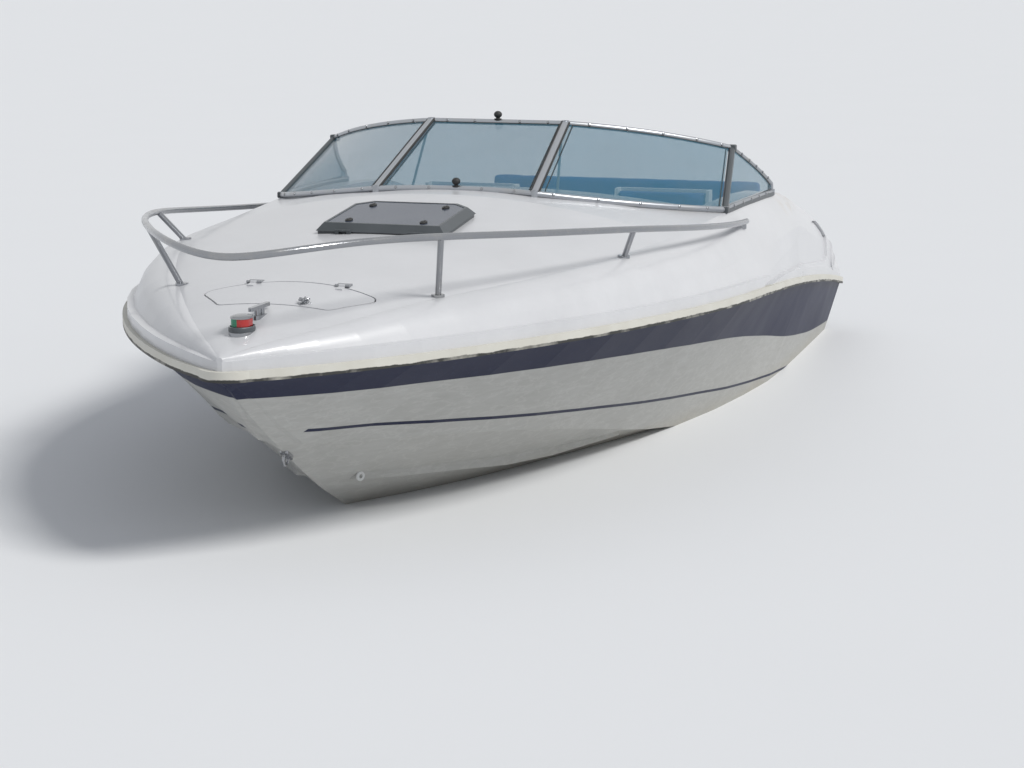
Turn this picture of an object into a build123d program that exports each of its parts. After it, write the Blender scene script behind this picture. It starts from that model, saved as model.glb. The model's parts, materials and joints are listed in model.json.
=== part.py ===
from build123d import *
import os
from math import atan2, cos, degrees, pi, radians, sin, sqrt, tan

# A cuddy-cabin speedboat with a sterndrive, afloat.
# Millimetres. x runs forward, y to port, z up from the waterline.
# The origin is on the centreline at the waterline, over the middle of the hull.
# Distances named "forward" are measured from the transom.

# Hull moulding
hull_length = 6067.0
half_beam = 1250.0
transom_half_beam = 1145.0
entry_length = 2987.0
entry_power = 2.21
nose_power = 1.239
bow_height = 665.0
sheer_spring = 143.0
sheer_drop = 553.0
stern_x = -2600.0
hull_skin = 14.0
chine_flat = 45.0
transom_thickness = 45.0
transom_rake = 12.0
joint_above_sheer = 18.0

# Deck moulding and rub rail
deck_skin = 10.0
flange_height = 62.0
flange_lean = 2.0
rail_lift = 4.0
rail_height = 36.0
rail_depth = 15.0
rail_seat = 12.0

# Stern platform and cockpit
platform_height = 400.0
platform_length = 450.0
platform_half = 880.0
stern_coaming = 90.0
cockpit_front = 2950.0
cockpit_half = 930.0
cockpit_corner = 60.0
sole_half = 790.0
sole_height = 60.0
sole_thickness = 25.0
coaming_wall = 12.0
bulkhead_thickness = 25.0
companionway_half = 270.0
companionway_top = 880.0
hinge_knuckle = 5.0
door_thickness = 22.0
moving_gap = 6.0
seat_gap = 0.3

# Foredeck hatch and anchor locker
hatch_aft = 4045.0
hatch_front = 4517.0
hatch_half = 266.0
hatch_corner = 62.0
hatch_rim = 46.0
hatch_base = 4.0
hatch_lid_height = 30.0
hatch_lid_rim = 36.0
hatch_ledge = 10.0
hatch_lens_thickness = 8.0
locker_aft = 5350.0
locker_corner_aft = 5440.0
locker_front = 5608.0
locker_half_aft = 345.0
locker_half_front = 207.0
locker_corner = 40.0
locker_hinge_half = 168.0
locker_bulkhead = 5290.0
locker_wall = 12.0
berth_height = 300.0
berth_aft = 3400.0
cushion_thickness = 90.0

# Windscreen
glass_thickness = 6.0
frame_height = 26.0
frame_width = 20.0
post_width = 34.0

# Deck rail
rail_tube = 25.4
stanchion_tube = 22.2
foot_radius = 24.0
foot_height = 7.0

# Sterndrive
gimbal_forward = -60.0
gimbal_z = -105.0
shaft_drop = 400.0
propeller_radius = 180.0
propeller_aft = 440.0
blade_count = 3

# Engine, its box and cover
engine_aft = 190.0
engine_front = 1080.0
engine_half = 330.0
engine_low = -260.0
engine_high = 340.0
engine_box_front = 1250.0
engine_box_half = 400.0
engine_box_top = 470.0
engine_box_wall = 20.0
cover_thickness = 30.0
sun_pad_height = 70.0
sun_pad_setback = 105.0

# Steering wheel, consoles and seats
wheel_radius = 180.0
wheel_grip = 14.0
wheel_tilt = 30.0
wheel_forward = 2560.0
wheel_height = 790.0
helm_half = 500.0
console_inner = 300.0
console_outer = 770.0
seat_forward = 1950.0
seat_width = 480.0
seat_length = 480.0
seat_top = 480.0
seat_back_top = 930.0

# Hull shape: forward, keel height, chine half-breadth, chine height
hull_table = [
    (0, -470, 1045, -100),
    (1500, -462, 1048, -85),
    (2400, -450, 970, -52),
    (3000, -440, 875, -8),
    (3600, -392, 805, 85),
    (4200, -262, 722, 200),
    (4700, -90, 605, 282),
    (5100, 85, 405, 330),
    (5500, 310, 95, 357),
    (5850, 531, 48, 560),
    (6000, 636, 20, 650),
    (6067, 671, 4, 677),
]

# Lifting strakes under the bottom: forward, half-breadth of the outer edge, width
strakes = [
    [(3600, 745, 24), (4200, 520, 55), (4700, 352, 50), (5100, 122, 34)],
    [(900, 610, 62), (2400, 600, 62), (3600, 500, 58), (4200, 380, 40)],
    [(900, 330, 62), (2400, 320, 62), (3600, 235, 50)],
]
strake_sink = 2.0

# Deck shape: forward, knuckle half-breadth, knuckle height, shoulder half-breadth,
# shoulder height, crown height, bulge of the side between knuckle and shoulder
deck_table = [
    (0, 1138, 322, 1108, 396, 402, 0.12),
    (150, 1148, 345, 1106, 402, 408, 0.12),
    (420, 1155, 475, 1100, 592, 600, 0.12),
    (720, 1165, 570, 1088, 705, 716, 0.12),
    (1300, 1190, 690, 1088, 838, 855, 0.09),
    (1930, 1200, 785, 1094, 946, 976, 0.07),
    (2650, 1188, 766, 1078, 955, 1012, 0.06),
    (3000, 1182, 768, 1052, 950, 1042, 0.07),
    (3580, 1165, 778, 1004, 930, 1082, 0.12),
    (4295, 1062, 800, 905, 912, 1010, 0.16),
    (4900, 850, 800, 690, 885, 950, 0.16),
    (5380, 588, 788, 450, 860, 907, 0.16),
    (5700, 362, 770, 262, 818, 845, 0.16),
    (5900, 190, 757, 130, 790, 805, 0.16),
    (6010, 72, 748, 45, 765, 772, 0.16),
    (6067, 7, 742, 4, 748, 750, 0.16),
]

# Moulding frames, closer together where the bow rounds in
frames = [0, 150, 300, 480, 720, 1000, 1400, 1800, 2200, 2600, 3000, 3400, 3750, 4050, 4350, 4650,
          4900, 5150, 5350, 5550, 5700, 5820, 5910, 5975, 6020, 6048, 6064]
cavity_end = 5700

# Windscreen points: base forward, base half-breadth, top forward, top half-breadth, top height
screen_post = (3568, 356, 2930, 317, 1326)
screen_middle = (3305, 748, 2718, 680, 1277)
screen_corner = (2940, 1052, 2430, 979, 1197)
screen_side = (2465, 1080, 2222, 1048, 1098)
screen_end = (1990, 1090, 2007, 1090, 1000)

# Deck rail, port half from aft to the bow: forward, half-breadth, height of the tube's centre
deck_rail_points = [
    (2845, 1132, 906),
    (3400, 1138, 945),
    (3950, 1088, 992),
    (4433, 986, 1034),
    (4985, 773, 1071),
    (5508, 508, 1103),
    (5770, 345, 1107),
    (5935, 185, 1092),
    (5998, 70, 1080),
]
deck_rail_tip = (6010, 0, 1077)
# Stanchions: foot forward, foot half-breadth, top forward, top half-breadth, top height
stanchions = [
    (5276, 492, 5425, 553, 1099),
    (4295, 925, 4410, 992, 1032),
    (2886, 1116, 2868, 1133, 907),
]

# Quarter panel let into the deck's side: forward, height
quarter_panel = [
    (3040, 625), (2975, 645), (2836, 663), (2589, 677), (2157, 701), (1717, 733), (1149, 733), (830, 700),
    (640, 600), (700, 500), (859, 490), (1349, 541), (1750, 586), (2400, 618),
]
quarter_depth = 14.0

# Side vents: centre forward and height, half-length, half-height, tilt
vent_forward = 392.0
vent_height = 486.0
vent_half_length = 165.0
vent_half_height = 68.0
vent_tilt = 22.0
vent_rim = 14.0
vent_proud = 10.0
vent_slats = 4


# The cockpit's aft wall stands forward of the stern platform, with a coaming between
cockpit_aft = platform_length + stern_coaming


def forward(distance):
    """Row x of a place measured forward from the transom."""
    return stern_x + distance


def sheer_half(distance):
    """Half-breadth at the sheer: a full bow that fairs into nearly straight sides."""
    aft_of_tip = max(hull_length - distance, 0.3)
    if aft_of_tip < entry_length:
        fullness = 1 - (1 - aft_of_tip / entry_length) ** entry_power
        return half_beam * fullness ** (1 / nose_power)
    run = (aft_of_tip - entry_length) / (hull_length - entry_length)
    return half_beam - (half_beam - transom_half_beam) * run ** 2


def sheer_height(distance):
    """Height of the sheer: level over the bow half, then drooping to the stern."""
    share = (hull_length - distance) / hull_length
    return bow_height + sheer_spring * share - sheer_drop * share ** 2


def joint_height(distance):
    """Height of the seam between hull and deck."""
    return sheer_height(distance) + joint_above_sheer


def fair(table, distance, column):
    """A column of a shape table at any distance, by a fair curve that never overshoots."""
    places = [row[0] for row in table]
    values = [row[column] for row in table]
    spans = [b - a for a, b in zip(places, places[1:])]
    slopes = [(b - a) / span for a, b, span in zip(values, values[1:], spans)]
    bends = [slopes[0]]
    for before, after in zip(slopes, slopes[1:]):
        bends.append(2 * before * after / (before + after) if before * after > 0 else 0)
    bends.append(slopes[-1])
    index = min(max(sum(place <= distance for place in places) - 1, 0), len(spans) - 1)
    span = spans[index]
    t = min(max((distance - places[index]) / span, 0), 1)
    return (
        values[index] * (1 + 2 * t) * (1 - t) ** 2
        + bends[index] * span * t * (1 - t) ** 2
        + values[index + 1] * t ** 2 * (3 - 2 * t)
        - bends[index + 1] * span * t ** 2 * (1 - t)
    )


def frames_within(start, end):
    """The frames from one distance to another, with both ends."""
    return [start, *[frame for frame in frames if start < frame < end], end]


def mirrored(half):
    """A closed outline from the points of its port half."""
    return half + [(-y, z) for y, z in reversed(half) if y > 0]


def outline_face(distance, points):
    """A flat face across the boat from (y, z) points."""
    with BuildSketch(Plane.YZ.offset(forward(distance))) as section:
        with BuildLine():
            Polyline(*points, close=True)
        make_face()
    return section.sketch


def hull_points(distance):
    """Keel height, chine flat's inner edge and outer edge, and chine height at a frame."""
    keel, chine, chine_height = [fair(hull_table, distance, column) for column in (1, 2, 3)]
    return keel, chine - min(chine_flat, 0.3 * chine), chine, chine_height


def hull_face(distance):
    keel, inner, chine, chine_height = hull_points(distance)
    return outline_face(distance, mirrored([
        (0, keel),
        (inner, chine_height - 2),
        (chine, chine_height),
        (sheer_half(distance), joint_height(distance)),
    ]))


def cavity_face(distance, above):
    keel, inner, chine, chine_height = hull_points(distance)
    side = sheer_half(distance)
    top = joint_height(distance)
    flare = (side - chine) / (top - chine_height)
    return outline_face(distance, mirrored([
        (0, keel + 1.5 * hull_skin),
        (inner - 0.5 * hull_skin, chine_height + hull_skin),
        (side - hull_skin + above * flare, top + above),
    ]))


def strake_face(distance, table):
    """A lifting strake's section: level below, upright outside, its top sunk in the bottom."""
    half, width = [fair(table, distance, column) for column in (1, 2)]
    keel, inner, chine, chine_height = hull_points(distance)
    rise = (chine_height - 2 - keel) / inner
    level = keel + rise * (half - width)
    return outline_face(distance, [
        (half - width, level + strake_sink),
        (half - width, level),
        (half, level),
        (half, keel + rise * half + strake_sink),
    ])


def flange(side, bend, below):
    """The upright flange along the deck's edge and the step above it, on the outer form only."""
    if below:
        return []
    top = min(side[1] + flange_height, bend[1] - 6)
    share = (top + 3 - side[1]) / (bend[1] - side[1])
    return [
        (side[0] - min(flange_lean, 0.1 * side[0]), top),
        (side[0] + share * (bend[0] - side[0]), top + 3),
    ]


def deck_face(distance, inset, below):
    """A section of the deck: side, rounded shoulder and crowned top."""
    knuckle, knuckle_z, shoulder, shoulder_z, crown, bulge = [
        fair(deck_table, distance, column) for column in (1, 2, 3, 4, 5, 6)
    ]
    side = (sheer_half(distance) - inset, joint_height(distance) - below)
    bend = (knuckle - inset, knuckle_z - 0.3 * inset)
    edge = (shoulder - 0.6 * inset, shoulder_z - inset)
    run = (edge[0] - bend[0], edge[1] - bend[1])
    middle = (
        (bend[0] + edge[0]) / 2 + bulge * run[1],
        (bend[1] + edge[1]) / 2 - bulge * run[0],
    )
    edge_points = [side, *flange(side, bend, below), bend]
    with BuildSketch(Plane.YZ.offset(forward(distance))) as section:
        with BuildLine():
            Polyline(*edge_points)
            ThreePointArc(bend, middle, edge)
            ThreePointArc(edge, (0, crown - inset), (-edge[0], edge[1]))
            ThreePointArc((-edge[0], edge[1]), (-middle[0], middle[1]), (-bend[0], bend[1]))
            Polyline(*[(-y, z) for y, z in reversed(edge_points)], side)
        make_face()
    return section.sketch


def prism(points, depth):
    """A side-view outline carried across the boat, from one side to the other."""
    with BuildPart() as block:
        with BuildSketch(Plane.XZ):
            with BuildLine():
                Polyline(*points, close=True)
            make_face()
        extrude(amount=depth, both=True)
    return block.part


def box_between(low, high):
    """A box from its low corner to its high corner, in row coordinates."""
    size = [far - near for near, far in zip(low, high)]
    middle = tuple(near + length / 2 for near, length in zip(low, size))
    with BuildPart() as block:
        with Locations(middle):
            Box(*size)
    return block.part


def well(grow):
    """The cockpit well and the stern platform's recess, cut down through the deck."""
    with BuildPart() as void:
        with BuildSketch(Plane.XY.offset(joint_height(0) - 60)):
            with Locations((forward((cockpit_front + cockpit_aft) / 2), 0)):
                RectangleRounded(
                    cockpit_front - cockpit_aft + 2 * grow,
                    2 * (cockpit_half + grow),
                    cockpit_corner + grow,
                )
        extrude(amount=1400)
        add(box_between(
            (forward(-100), -platform_half - grow, platform_height - grow),
            (forward(platform_length) + grow, platform_half + grow, 1400),
        ))
    return void.part


def locker_outline(inset):
    """Plan of the anchor locker's lid: a bowed aft edge, narrower forward, with rounded corners."""
    aft = (forward(locker_corner_aft), locker_half_aft)
    front = (forward(locker_front), locker_half_front)
    with BuildSketch(Plane.XY.offset(700)) as outline:
        with BuildLine():
            ThreePointArc(aft, (forward(locker_aft), 0), (aft[0], -aft[1]))
            Polyline((aft[0], -aft[1]), (front[0], -front[1]), front, aft)
        make_face()
        fillet(outline.vertices(), radius=locker_corner)
        if inset:
            offset(amount=-inset)
    return outline.sketch


parts = {}


def keep(builder, name):
    """Label a finished piece and note it for export."""
    builder.part.label = name
    parts[name] = builder.part


# Outer forms of hull and deck, which also trim what seats on them
with BuildPart() as hull_form:
    loft(sections=[hull_face(frame) for frame in frames], ruled=True)

with BuildPart() as hull_space:
    loft(sections=[cavity_face(frame, 60) for frame in frames_within(0, cavity_end)], ruled=True)

with BuildPart() as deck_solid:
    loft(sections=[deck_face(frame, 0, 0) for frame in frames], ruled=True)



def deck_layer(inset, start, end):
    """The deck's form shrunk by a distance, over part of the length."""
    with BuildPart() as form:
        loft(sections=[deck_face(frame, inset, 40) for frame in frames_within(start, end)], ruled=True)
    return form.part


deck_space = deck_layer(deck_skin, deck_skin, cavity_end)

# Quarter panels: a shallow step down in the deck's side, the skin behind it stepped as well
panel_start, panel_end = 600, 3060
panel_outline = [(forward(place), height) for place, height in quarter_panel]
with BuildPart() as panel_block:
    add(prism(panel_outline, 1400))
    with Locations((forward(1800), 0, 650)):
        Box(3000, 2000, 800, mode=Mode.SUBTRACT)
panel_cut = panel_block.part - deck_layer(quarter_depth, panel_start - 100, panel_end + 100)
with BuildPart() as panel_back:
    with BuildSketch(Plane.XZ):
        with BuildLine():
            Polyline(*panel_outline, close=True)
        make_face()
        offset(amount=deck_skin)
    extrude(amount=1400, both=True)
panel_skin = panel_back.part - deck_layer(quarter_depth + deck_skin, panel_start - 100, panel_end + 100)


def behind_transom(thickness):
    """Everything aft of the raked transom's outer or inner face."""
    reach = 900.0
    lean = tan(radians(transom_rake))
    with BuildPart() as wedge:
        with BuildSketch(Plane.XZ.offset(-1400)):
            with BuildLine():
                Polyline(
                    (forward(-300), joint_height(0) + 100),
                    (forward(thickness) - 100 * lean, joint_height(0) + 100),
                    (forward(thickness) + reach * lean, joint_height(0) - reach),
                    (forward(-300), joint_height(0) - reach),
                    close=True,
                )
            make_face()
        extrude(amount=2800)
    return wedge.part


# Hull: vee bottom with chine flats, raked transom and lifting strakes, moulded as one skin
inside = hull_space.part - behind_transom(transom_thickness)
with BuildPart() as hull:
    add(hull_form.part)
    for table in strakes:
        faces = [strake_face(frame, table) for frame in frames_within(table[0][0], table[-1][0])]
        with BuildPart(mode=Mode.PRIVATE) as strake:
            loft(sections=faces, ruled=True)
        add(strake.part)
        add(mirror(strake.part, about=Plane.XZ, mode=Mode.PRIVATE))
    add(behind_transom(0), mode=Mode.SUBTRACT)
    add(inside, mode=Mode.SUBTRACT)
keep(hull, "hull")

# Deck: foredeck, side decks, coamings and stern platform with their inward returns
with BuildPart() as deck_form:
    add(deck_solid.part)
    add(panel_cut, mode=Mode.SUBTRACT)
    add(well(0), mode=Mode.SUBTRACT)

with BuildPart() as deck_inner:
    add(deck_space)
    add(panel_skin, mode=Mode.SUBTRACT)
    add(well(coaming_wall), mode=Mode.SUBTRACT)

with BuildPart() as hatch_cut:
    with BuildSketch(Plane.XY.offset(800)):
        with Locations((forward((hatch_aft + hatch_front) / 2), 0)):
            RectangleRounded(hatch_front - hatch_aft - 2 * hatch_rim, 2 * (hatch_half - hatch_rim), 30)
    extrude(amount=400)

with BuildPart() as deck_shell:
    add(deck_form.part)
    add(deck_inner.part, mode=Mode.SUBTRACT)

with BuildPart() as deck:
    add(deck_shell.part)
    add(hatch_cut.part, mode=Mode.SUBTRACT)
    extrude(locker_outline(0), amount=400, mode=Mode.SUBTRACT)


def on_deck(distance, half):
    """Height of the deck's top at a place."""
    hits = deck_form.part.find_intersection_points(Axis((forward(distance), half, 0), (0, 0, 1)))
    return max(hit[0].Z for hit in hits)


# Space inside the mouldings, which bulkheads and shelves fill from skin to skin
with BuildPart() as interior:
    add(inside & hull_form.part)
    add(deck_inner.part & deck_form.part)


def rail_point(distance, out):
    """A plan point beside the sheer, a distance outside it."""
    step = 3.0
    lean = (sheer_half(distance + step) - sheer_half(distance - step)) / (2 * step)
    length = sqrt(1 + lean ** 2)
    return (forward(distance) - out * lean / length, sheer_half(distance) + out / length)


def rail_plan(out):
    """Plan of the boat's edge, grown or shrunk, as arcs along each side and round the bow."""
    knots = [0, 1800, 3400, 4650, 5350, 5820, 6020]
    with BuildSketch(Plane.XY) as plan:
        with BuildLine():
            for near, far in zip(knots, knots[1:]):
                ends = [rail_point(place, out) for place in (near, (near + far) / 2, far)]
                ThreePointArc(*ends)
                ThreePointArc(*[(x, -y) for x, y in ends])
            port = rail_point(knots[-1], out)
            ThreePointArc(port, (forward(hull_length) + out, 0), (port[0], -port[1]))
            quarter = rail_point(knots[0], out)
            Line(quarter, (quarter[0], -quarter[1]))
        make_face()
    return plan.sketch


# Rub rail: a vinyl extrusion round the seam from quarter to quarter
with BuildPart() as rub_rail:
    extrude(rail_plan(rail_depth), amount=900)
    with BuildSketch(Plane.XZ) as band:
        with BuildLine():
            spans = [(0, 2000), (2000, 4000), (4000, 6120)]
            for near, far in spans:
                for lift in (rail_lift, rail_lift + rail_height):
                    ThreePointArc(*[
                        (forward(place), sheer_height(place) + lift)
                        for place in (near, (near + far) / 2, far)
                    ])
            for place in (0, 6120):
                Line(
                    (forward(place), sheer_height(place) + rail_lift),
                    (forward(place), sheer_height(place) + rail_lift + rail_height),
                )
        make_face()
    extrude(amount=1400, both=True, mode=Mode.INTERSECT)
    add(hull_form.part, mode=Mode.SUBTRACT)
    add(deck_form.part, mode=Mode.SUBTRACT)
    extrude(rail_plan(-rail_seat), amount=900, mode=Mode.SUBTRACT)
keep(rub_rail, "rub_rail")


# Cockpit liner: sole and tapering sides up to the deck's returns, with the engine's box
def tub(wall, floor):
    """The cockpit tub's outer or inner form."""
    with BuildPart() as form:
        for height, half in ((sole_height - floor, sole_half), (760, cockpit_half)):
            with BuildSketch(Plane.XY.offset(height)):
                with Locations((forward((cockpit_front + cockpit_aft) / 2), 0)):
                    RectangleRounded(
                        cockpit_front - cockpit_aft + 2 * wall,
                        2 * (half + wall),
                        cockpit_corner + wall,
                    )
        loft(ruled=True)
    return form.part


companionway = box_between(
    (forward(cockpit_front) - 60, -companionway_half, sole_height),
    (forward(cockpit_front) + 90, companionway_half, companionway_top),
)
with BuildPart() as cockpit_liner:
    add(tub(coaming_wall, sole_thickness) & hull_form.part)
    add(tub(0, 0), mode=Mode.SUBTRACT)
    add(box_between(
        (forward(cockpit_aft), -engine_box_half, sole_height - sole_thickness),
        (forward(engine_box_front), engine_box_half, engine_box_top),
    ))
    add(box_between(
        (forward(cockpit_aft) - 20, -engine_box_half + engine_box_wall, -200),
        (forward(engine_box_front) - engine_box_wall, engine_box_half - engine_box_wall, 700),
    ), mode=Mode.SUBTRACT)
    add(companionway, mode=Mode.SUBTRACT)
keep(cockpit_liner, "cockpit_liner")

with BuildPart() as deck_finished:
    add(deck.part)
    add(companionway, mode=Mode.SUBTRACT)
keep(deck_finished, "deck")


def wall_across(start, thickness):
    """A wall across the boat from skin to skin."""
    return interior.part & box_between(
        (forward(start), -1300, -500), (forward(start) + thickness, 1300, 1200)
    )


# Bulkheads: the cabin's with its companionway, and the anchor locker's
cabin_wall = cockpit_front + coaming_wall
with BuildPart() as bulkheads:
    add(wall_across(cabin_wall, bulkhead_thickness))
    add(companionway, mode=Mode.SUBTRACT)
    add(wall_across(locker_bulkhead, locker_wall))
keep(bulkheads, "bulkheads")

# Stringers: bearers along the bottom that carry the sole and the engine
with BuildPart() as stringers:
    for side in (1, -1):
        near, far = sorted((side * 300, side * 345))
        add(box_between(
            (forward(160), near, -520), (forward(cabin_wall), far, sole_height - sole_thickness)
        ) & inside)
keep(stringers, "stringers")

# Cabin: berth shelf with a foot well, and its cushions
with BuildPart() as berth:
    add(box_between(
        (forward(berth_aft), -1300, berth_height - 18), (forward(locker_bulkhead), 1300, berth_height)
    ) & interior.part)
    with BuildSketch(Plane.XY.offset(berth_height - 40)):
        with BuildLine():
            Polyline(
                (forward(berth_aft) - 10, 300), (forward(berth_aft) + 520, 120),
                (forward(berth_aft) + 520, -120), (forward(berth_aft) - 10, -300), close=True,
            )
        make_face()
    extrude(amount=80, mode=Mode.SUBTRACT)
    add(box_between(
        (forward(cabin_wall) + bulkhead_thickness, -1300, sole_height - 18),
        (forward(berth_aft), 1300, sole_height),
    ) & interior.part)
    add(box_between(
        (forward(berth_aft), -1300, sole_height - 18), (forward(berth_aft) + 15, 1300, berth_height)
    ) & interior.part)
keep(berth, "berth")

# Cushion plan: forward, half-breadth outside, half-breadth inside
cushion_plan = [(3410, 780, 320), (3930, 690, 135), (4500, 550, 4), (5000, 290, 4)]
with BuildPart() as berth_cushions:
    with BuildSketch(Plane.XY.offset(berth_height + seat_gap)) as cushion_sketch:
        with BuildLine():
            outer = [(forward(place), wide) for place, wide, near in cushion_plan]
            inner = [(forward(place), near) for place, wide, near in reversed(cushion_plan)]
            Polyline(*outer, *inner, close=True)
        make_face()
    extrude(amount=cushion_thickness)
    mirror(about=Plane.XZ)
keep(berth_cushions, "berth_cushions")

# Cabin door, hinged to port and opening aft
hinge_x = forward(cockpit_front) - hinge_knuckle - 0.5
hinge_y = companionway_half - 2
hinge_heights = (220, 700)
door_half = companionway_half - moving_gap
with BuildPart() as cabin_door:
    add(box_between(
        (forward(cockpit_front) + 3, -door_half, sole_height + moving_gap),
        (forward(cockpit_front) + 3 + door_thickness, door_half, companionway_top - moving_gap),
    ))
    fillet(cabin_door.edges().filter_by(Axis.X), radius=20)
    for height in hinge_heights:
        with Locations((hinge_x, hinge_y, height)):
            Cylinder(hinge_knuckle, 70)
        add(box_between(
            (hinge_x, hinge_y - 12, height - 30),
            (forward(cockpit_front) + 4, hinge_y - 4, height + 30),
        ))
keep(cabin_door, "cabin_door")

with BuildPart() as door_leaves:
    for height in hinge_heights:
        add(box_between(
            (forward(cockpit_front) - 3, hinge_y + hinge_knuckle + seat_gap, height - 30),
            (forward(cockpit_front), hinge_y + 30, height + 30),
        ))

# Engine, one plain block between the bearers
with BuildPart() as engine:
    add(box_between(
        (forward(engine_aft), -300 + seat_gap, engine_low), (forward(engine_front), 300 - seat_gap, engine_high)
    ))
    fillet(engine.edges().filter_by(Axis.X), radius=40)
keep(engine, "engine_block")

# Engine cover with its sun pad, hinged at its aft edge
cover_x = forward(cockpit_aft) + 6.3
cover_z = engine_box_top + cover_thickness
with BuildPart() as engine_cover:
    add(box_between(
        (cover_x + 7, -engine_box_half - 12, engine_box_top + seat_gap),
        (forward(engine_box_front) + 15, engine_box_half + 12, cover_z),
    ))
    fillet(engine_cover.edges().filter_by(Axis.Z), radius=30)
    for side in (1, -1):
        with Locations(Location((cover_x, side * 260, cover_z), (90, 0, 0))):
            Cylinder(6, 90)
        add(box_between((cover_x, side * 260 - 40, cover_z - 6), (cover_x + 12, side * 260 + 40, cover_z)))
keep(engine_cover, "engine_cover")

with BuildPart() as sun_pad:
    add(box_between(
        (cover_x + sun_pad_setback, -engine_box_half, cover_z + seat_gap),
        (forward(engine_box_front), engine_box_half, cover_z + sun_pad_height),
    ))
    fillet(sun_pad.edges(), radius=22)
keep(sun_pad, "sun_pad")

# Jump seats beside the engine box
with BuildPart() as jump_seats:
    add(box_between(
        (forward(cockpit_aft) + 8, engine_box_half + 15, sole_height + seat_gap),
        (forward(1020), sole_half - 8, 340),
    ))
    fillet(jump_seats.edges().filter_by(Axis.Z), radius=56)
    mirror(about=Plane.XZ)
keep(jump_seats, "jump_seats")

with BuildPart() as jump_cushions:
    add(box_between(
        (forward(cockpit_aft) + 10, engine_box_half + 20, 340 + seat_gap), (forward(1015), sole_half, 430)
    ))
    fillet(jump_cushions.edges().filter_by(Axis.Z), radius=50)
    fillet(jump_cushions.edges().group_by(Axis.Z)[-1], radius=20)
    mirror(about=Plane.XZ)
keep(jump_cushions, "jump_cushions")

# The helm's axis leans forward and down into the starboard console
wheel_plane = Plane(
    origin=(forward(wheel_forward), -helm_half, wheel_height),
    z_dir=(cos(radians(wheel_tilt)), 0, -sin(radians(wheel_tilt))),
)
column_length = 120.0

# Consoles under the windscreen, either side of the companionway, with the steering column
with BuildPart() as consoles:
    with BuildSketch(Plane.XZ.offset(-console_inner)):
        with BuildLine():
            front = forward(cockpit_front) - seat_gap
            Polyline(
                (front, 300), (front - 150, 300), (front - 215, 640), (front - 300, 700),
                (front - 190, 905), (front, 925), close=True,
            )
        make_face()
    extrude(amount=-(console_outer - console_inner))
    fillet(consoles.edges().filter_by(Axis.Y), radius=14)
    mirror(about=Plane.XZ)
    with BuildSketch(wheel_plane.offset(26 + seat_gap)):
        Circle(30)
    extrude(amount=column_length)
keep(consoles, "consoles")

# Steering wheel
with BuildPart() as steering_wheel:
    with BuildSketch(Plane(wheel_plane.origin, x_dir=wheel_plane.z_dir, z_dir=wheel_plane.x_dir)):
        with Locations((0, wheel_radius - wheel_grip)):
            RegularPolygon(wheel_grip, 8, rotation=22.5)
    revolve(axis=Axis(wheel_plane.origin, wheel_plane.z_dir), revolution_arc=360)
    with BuildSketch(wheel_plane.offset(-14)):
        Circle(42)
    extrude(amount=40)
    for turn in (90, 210, 330):
        with BuildSketch(wheel_plane.offset(4)):
            with Locations(Location((0, 0), turn)):
                with Locations((95, 0)):
                    Rectangle(150, 26)
        extrude(amount=8)
keep(steering_wheel, "steering_wheel")


# Helm and companion seats: moulded shells that swivel on pedestals, with loose cushions
shell_wall = 16.0
shell_plate = 30.0
seat_base = seat_top - 130.0


def seat_shell(side):
    """A bucket's shell: swivel plate, pan, wings and curved back."""
    middle_x, middle_y = forward(seat_forward), side * helm_half
    half = seat_width / 2
    with BuildPart() as shell:
        add(box_between(
            (middle_x - 150, middle_y - 150, seat_base), (middle_x + 150, middle_y + 150, seat_base + shell_plate)
        ))
        with BuildSketch(Plane.XZ.offset(-middle_y - half)) as wing:
            with BuildLine():
                Polyline(
                    (middle_x + 240, seat_base + shell_plate), (middle_x + 240, seat_top - 60),
                    (middle_x + 60, seat_top + 40), (middle_x - 110, seat_top + 120),
                    (middle_x - 180, seat_back_top), (middle_x - 262, seat_back_top),
                    (middle_x - 230, seat_base + shell_plate), close=True,
                )
            make_face()
        extrude(amount=seat_width)
        with BuildSketch(Plane.XZ.offset(-middle_y - half + shell_wall)) as room:
            with BuildLine():
                Polyline(
                    (middle_x + 300, seat_base + shell_plate + shell_wall),
                    (middle_x + 300, seat_back_top + 50),
                    (middle_x - 246, seat_back_top + 50),
                    (middle_x - 216, seat_base + shell_plate + shell_wall), close=True,
                )
            make_face()
        extrude(amount=seat_width - 2 * shell_wall, mode=Mode.SUBTRACT)
    return shell.part


def seat_cushions(side):
    """The loose seat and back cushions of a bucket."""
    middle_x, middle_y = forward(seat_forward), side * helm_half
    half = seat_width / 2 - shell_wall - seat_gap
    low = seat_base + shell_plate + shell_wall + seat_gap
    with BuildPart() as cushions:
        add(box_between((middle_x - 120, middle_y - half, low), (middle_x + 236, middle_y + half, seat_top)))
        with BuildSketch(Plane.XZ.offset(-middle_y - half)):
            with BuildLine():
                Polyline(
                    (middle_x - 122, low), (middle_x - 160, seat_back_top - 8),
                    (middle_x - 246 + 2 * seat_gap, seat_back_top + 50), (middle_x - 216 + seat_gap, low),
                    close=True,
                )
            make_face()
        extrude(amount=2 * half)
        add(box_between(
            (middle_x - 400, middle_y - 400, seat_back_top - 8), (middle_x, middle_y + 400, seat_back_top + 100)
        ), mode=Mode.SUBTRACT)
    return cushions.part


for name, side in (("helm_seat", -1), ("companion_seat", 1)):
    with BuildPart() as seat:
        add(seat_shell(side))
    keep(seat, name)
    with BuildPart() as padding:
        add(seat_cushions(side))
    keep(padding, name.replace("seat", "cushions"))

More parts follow.
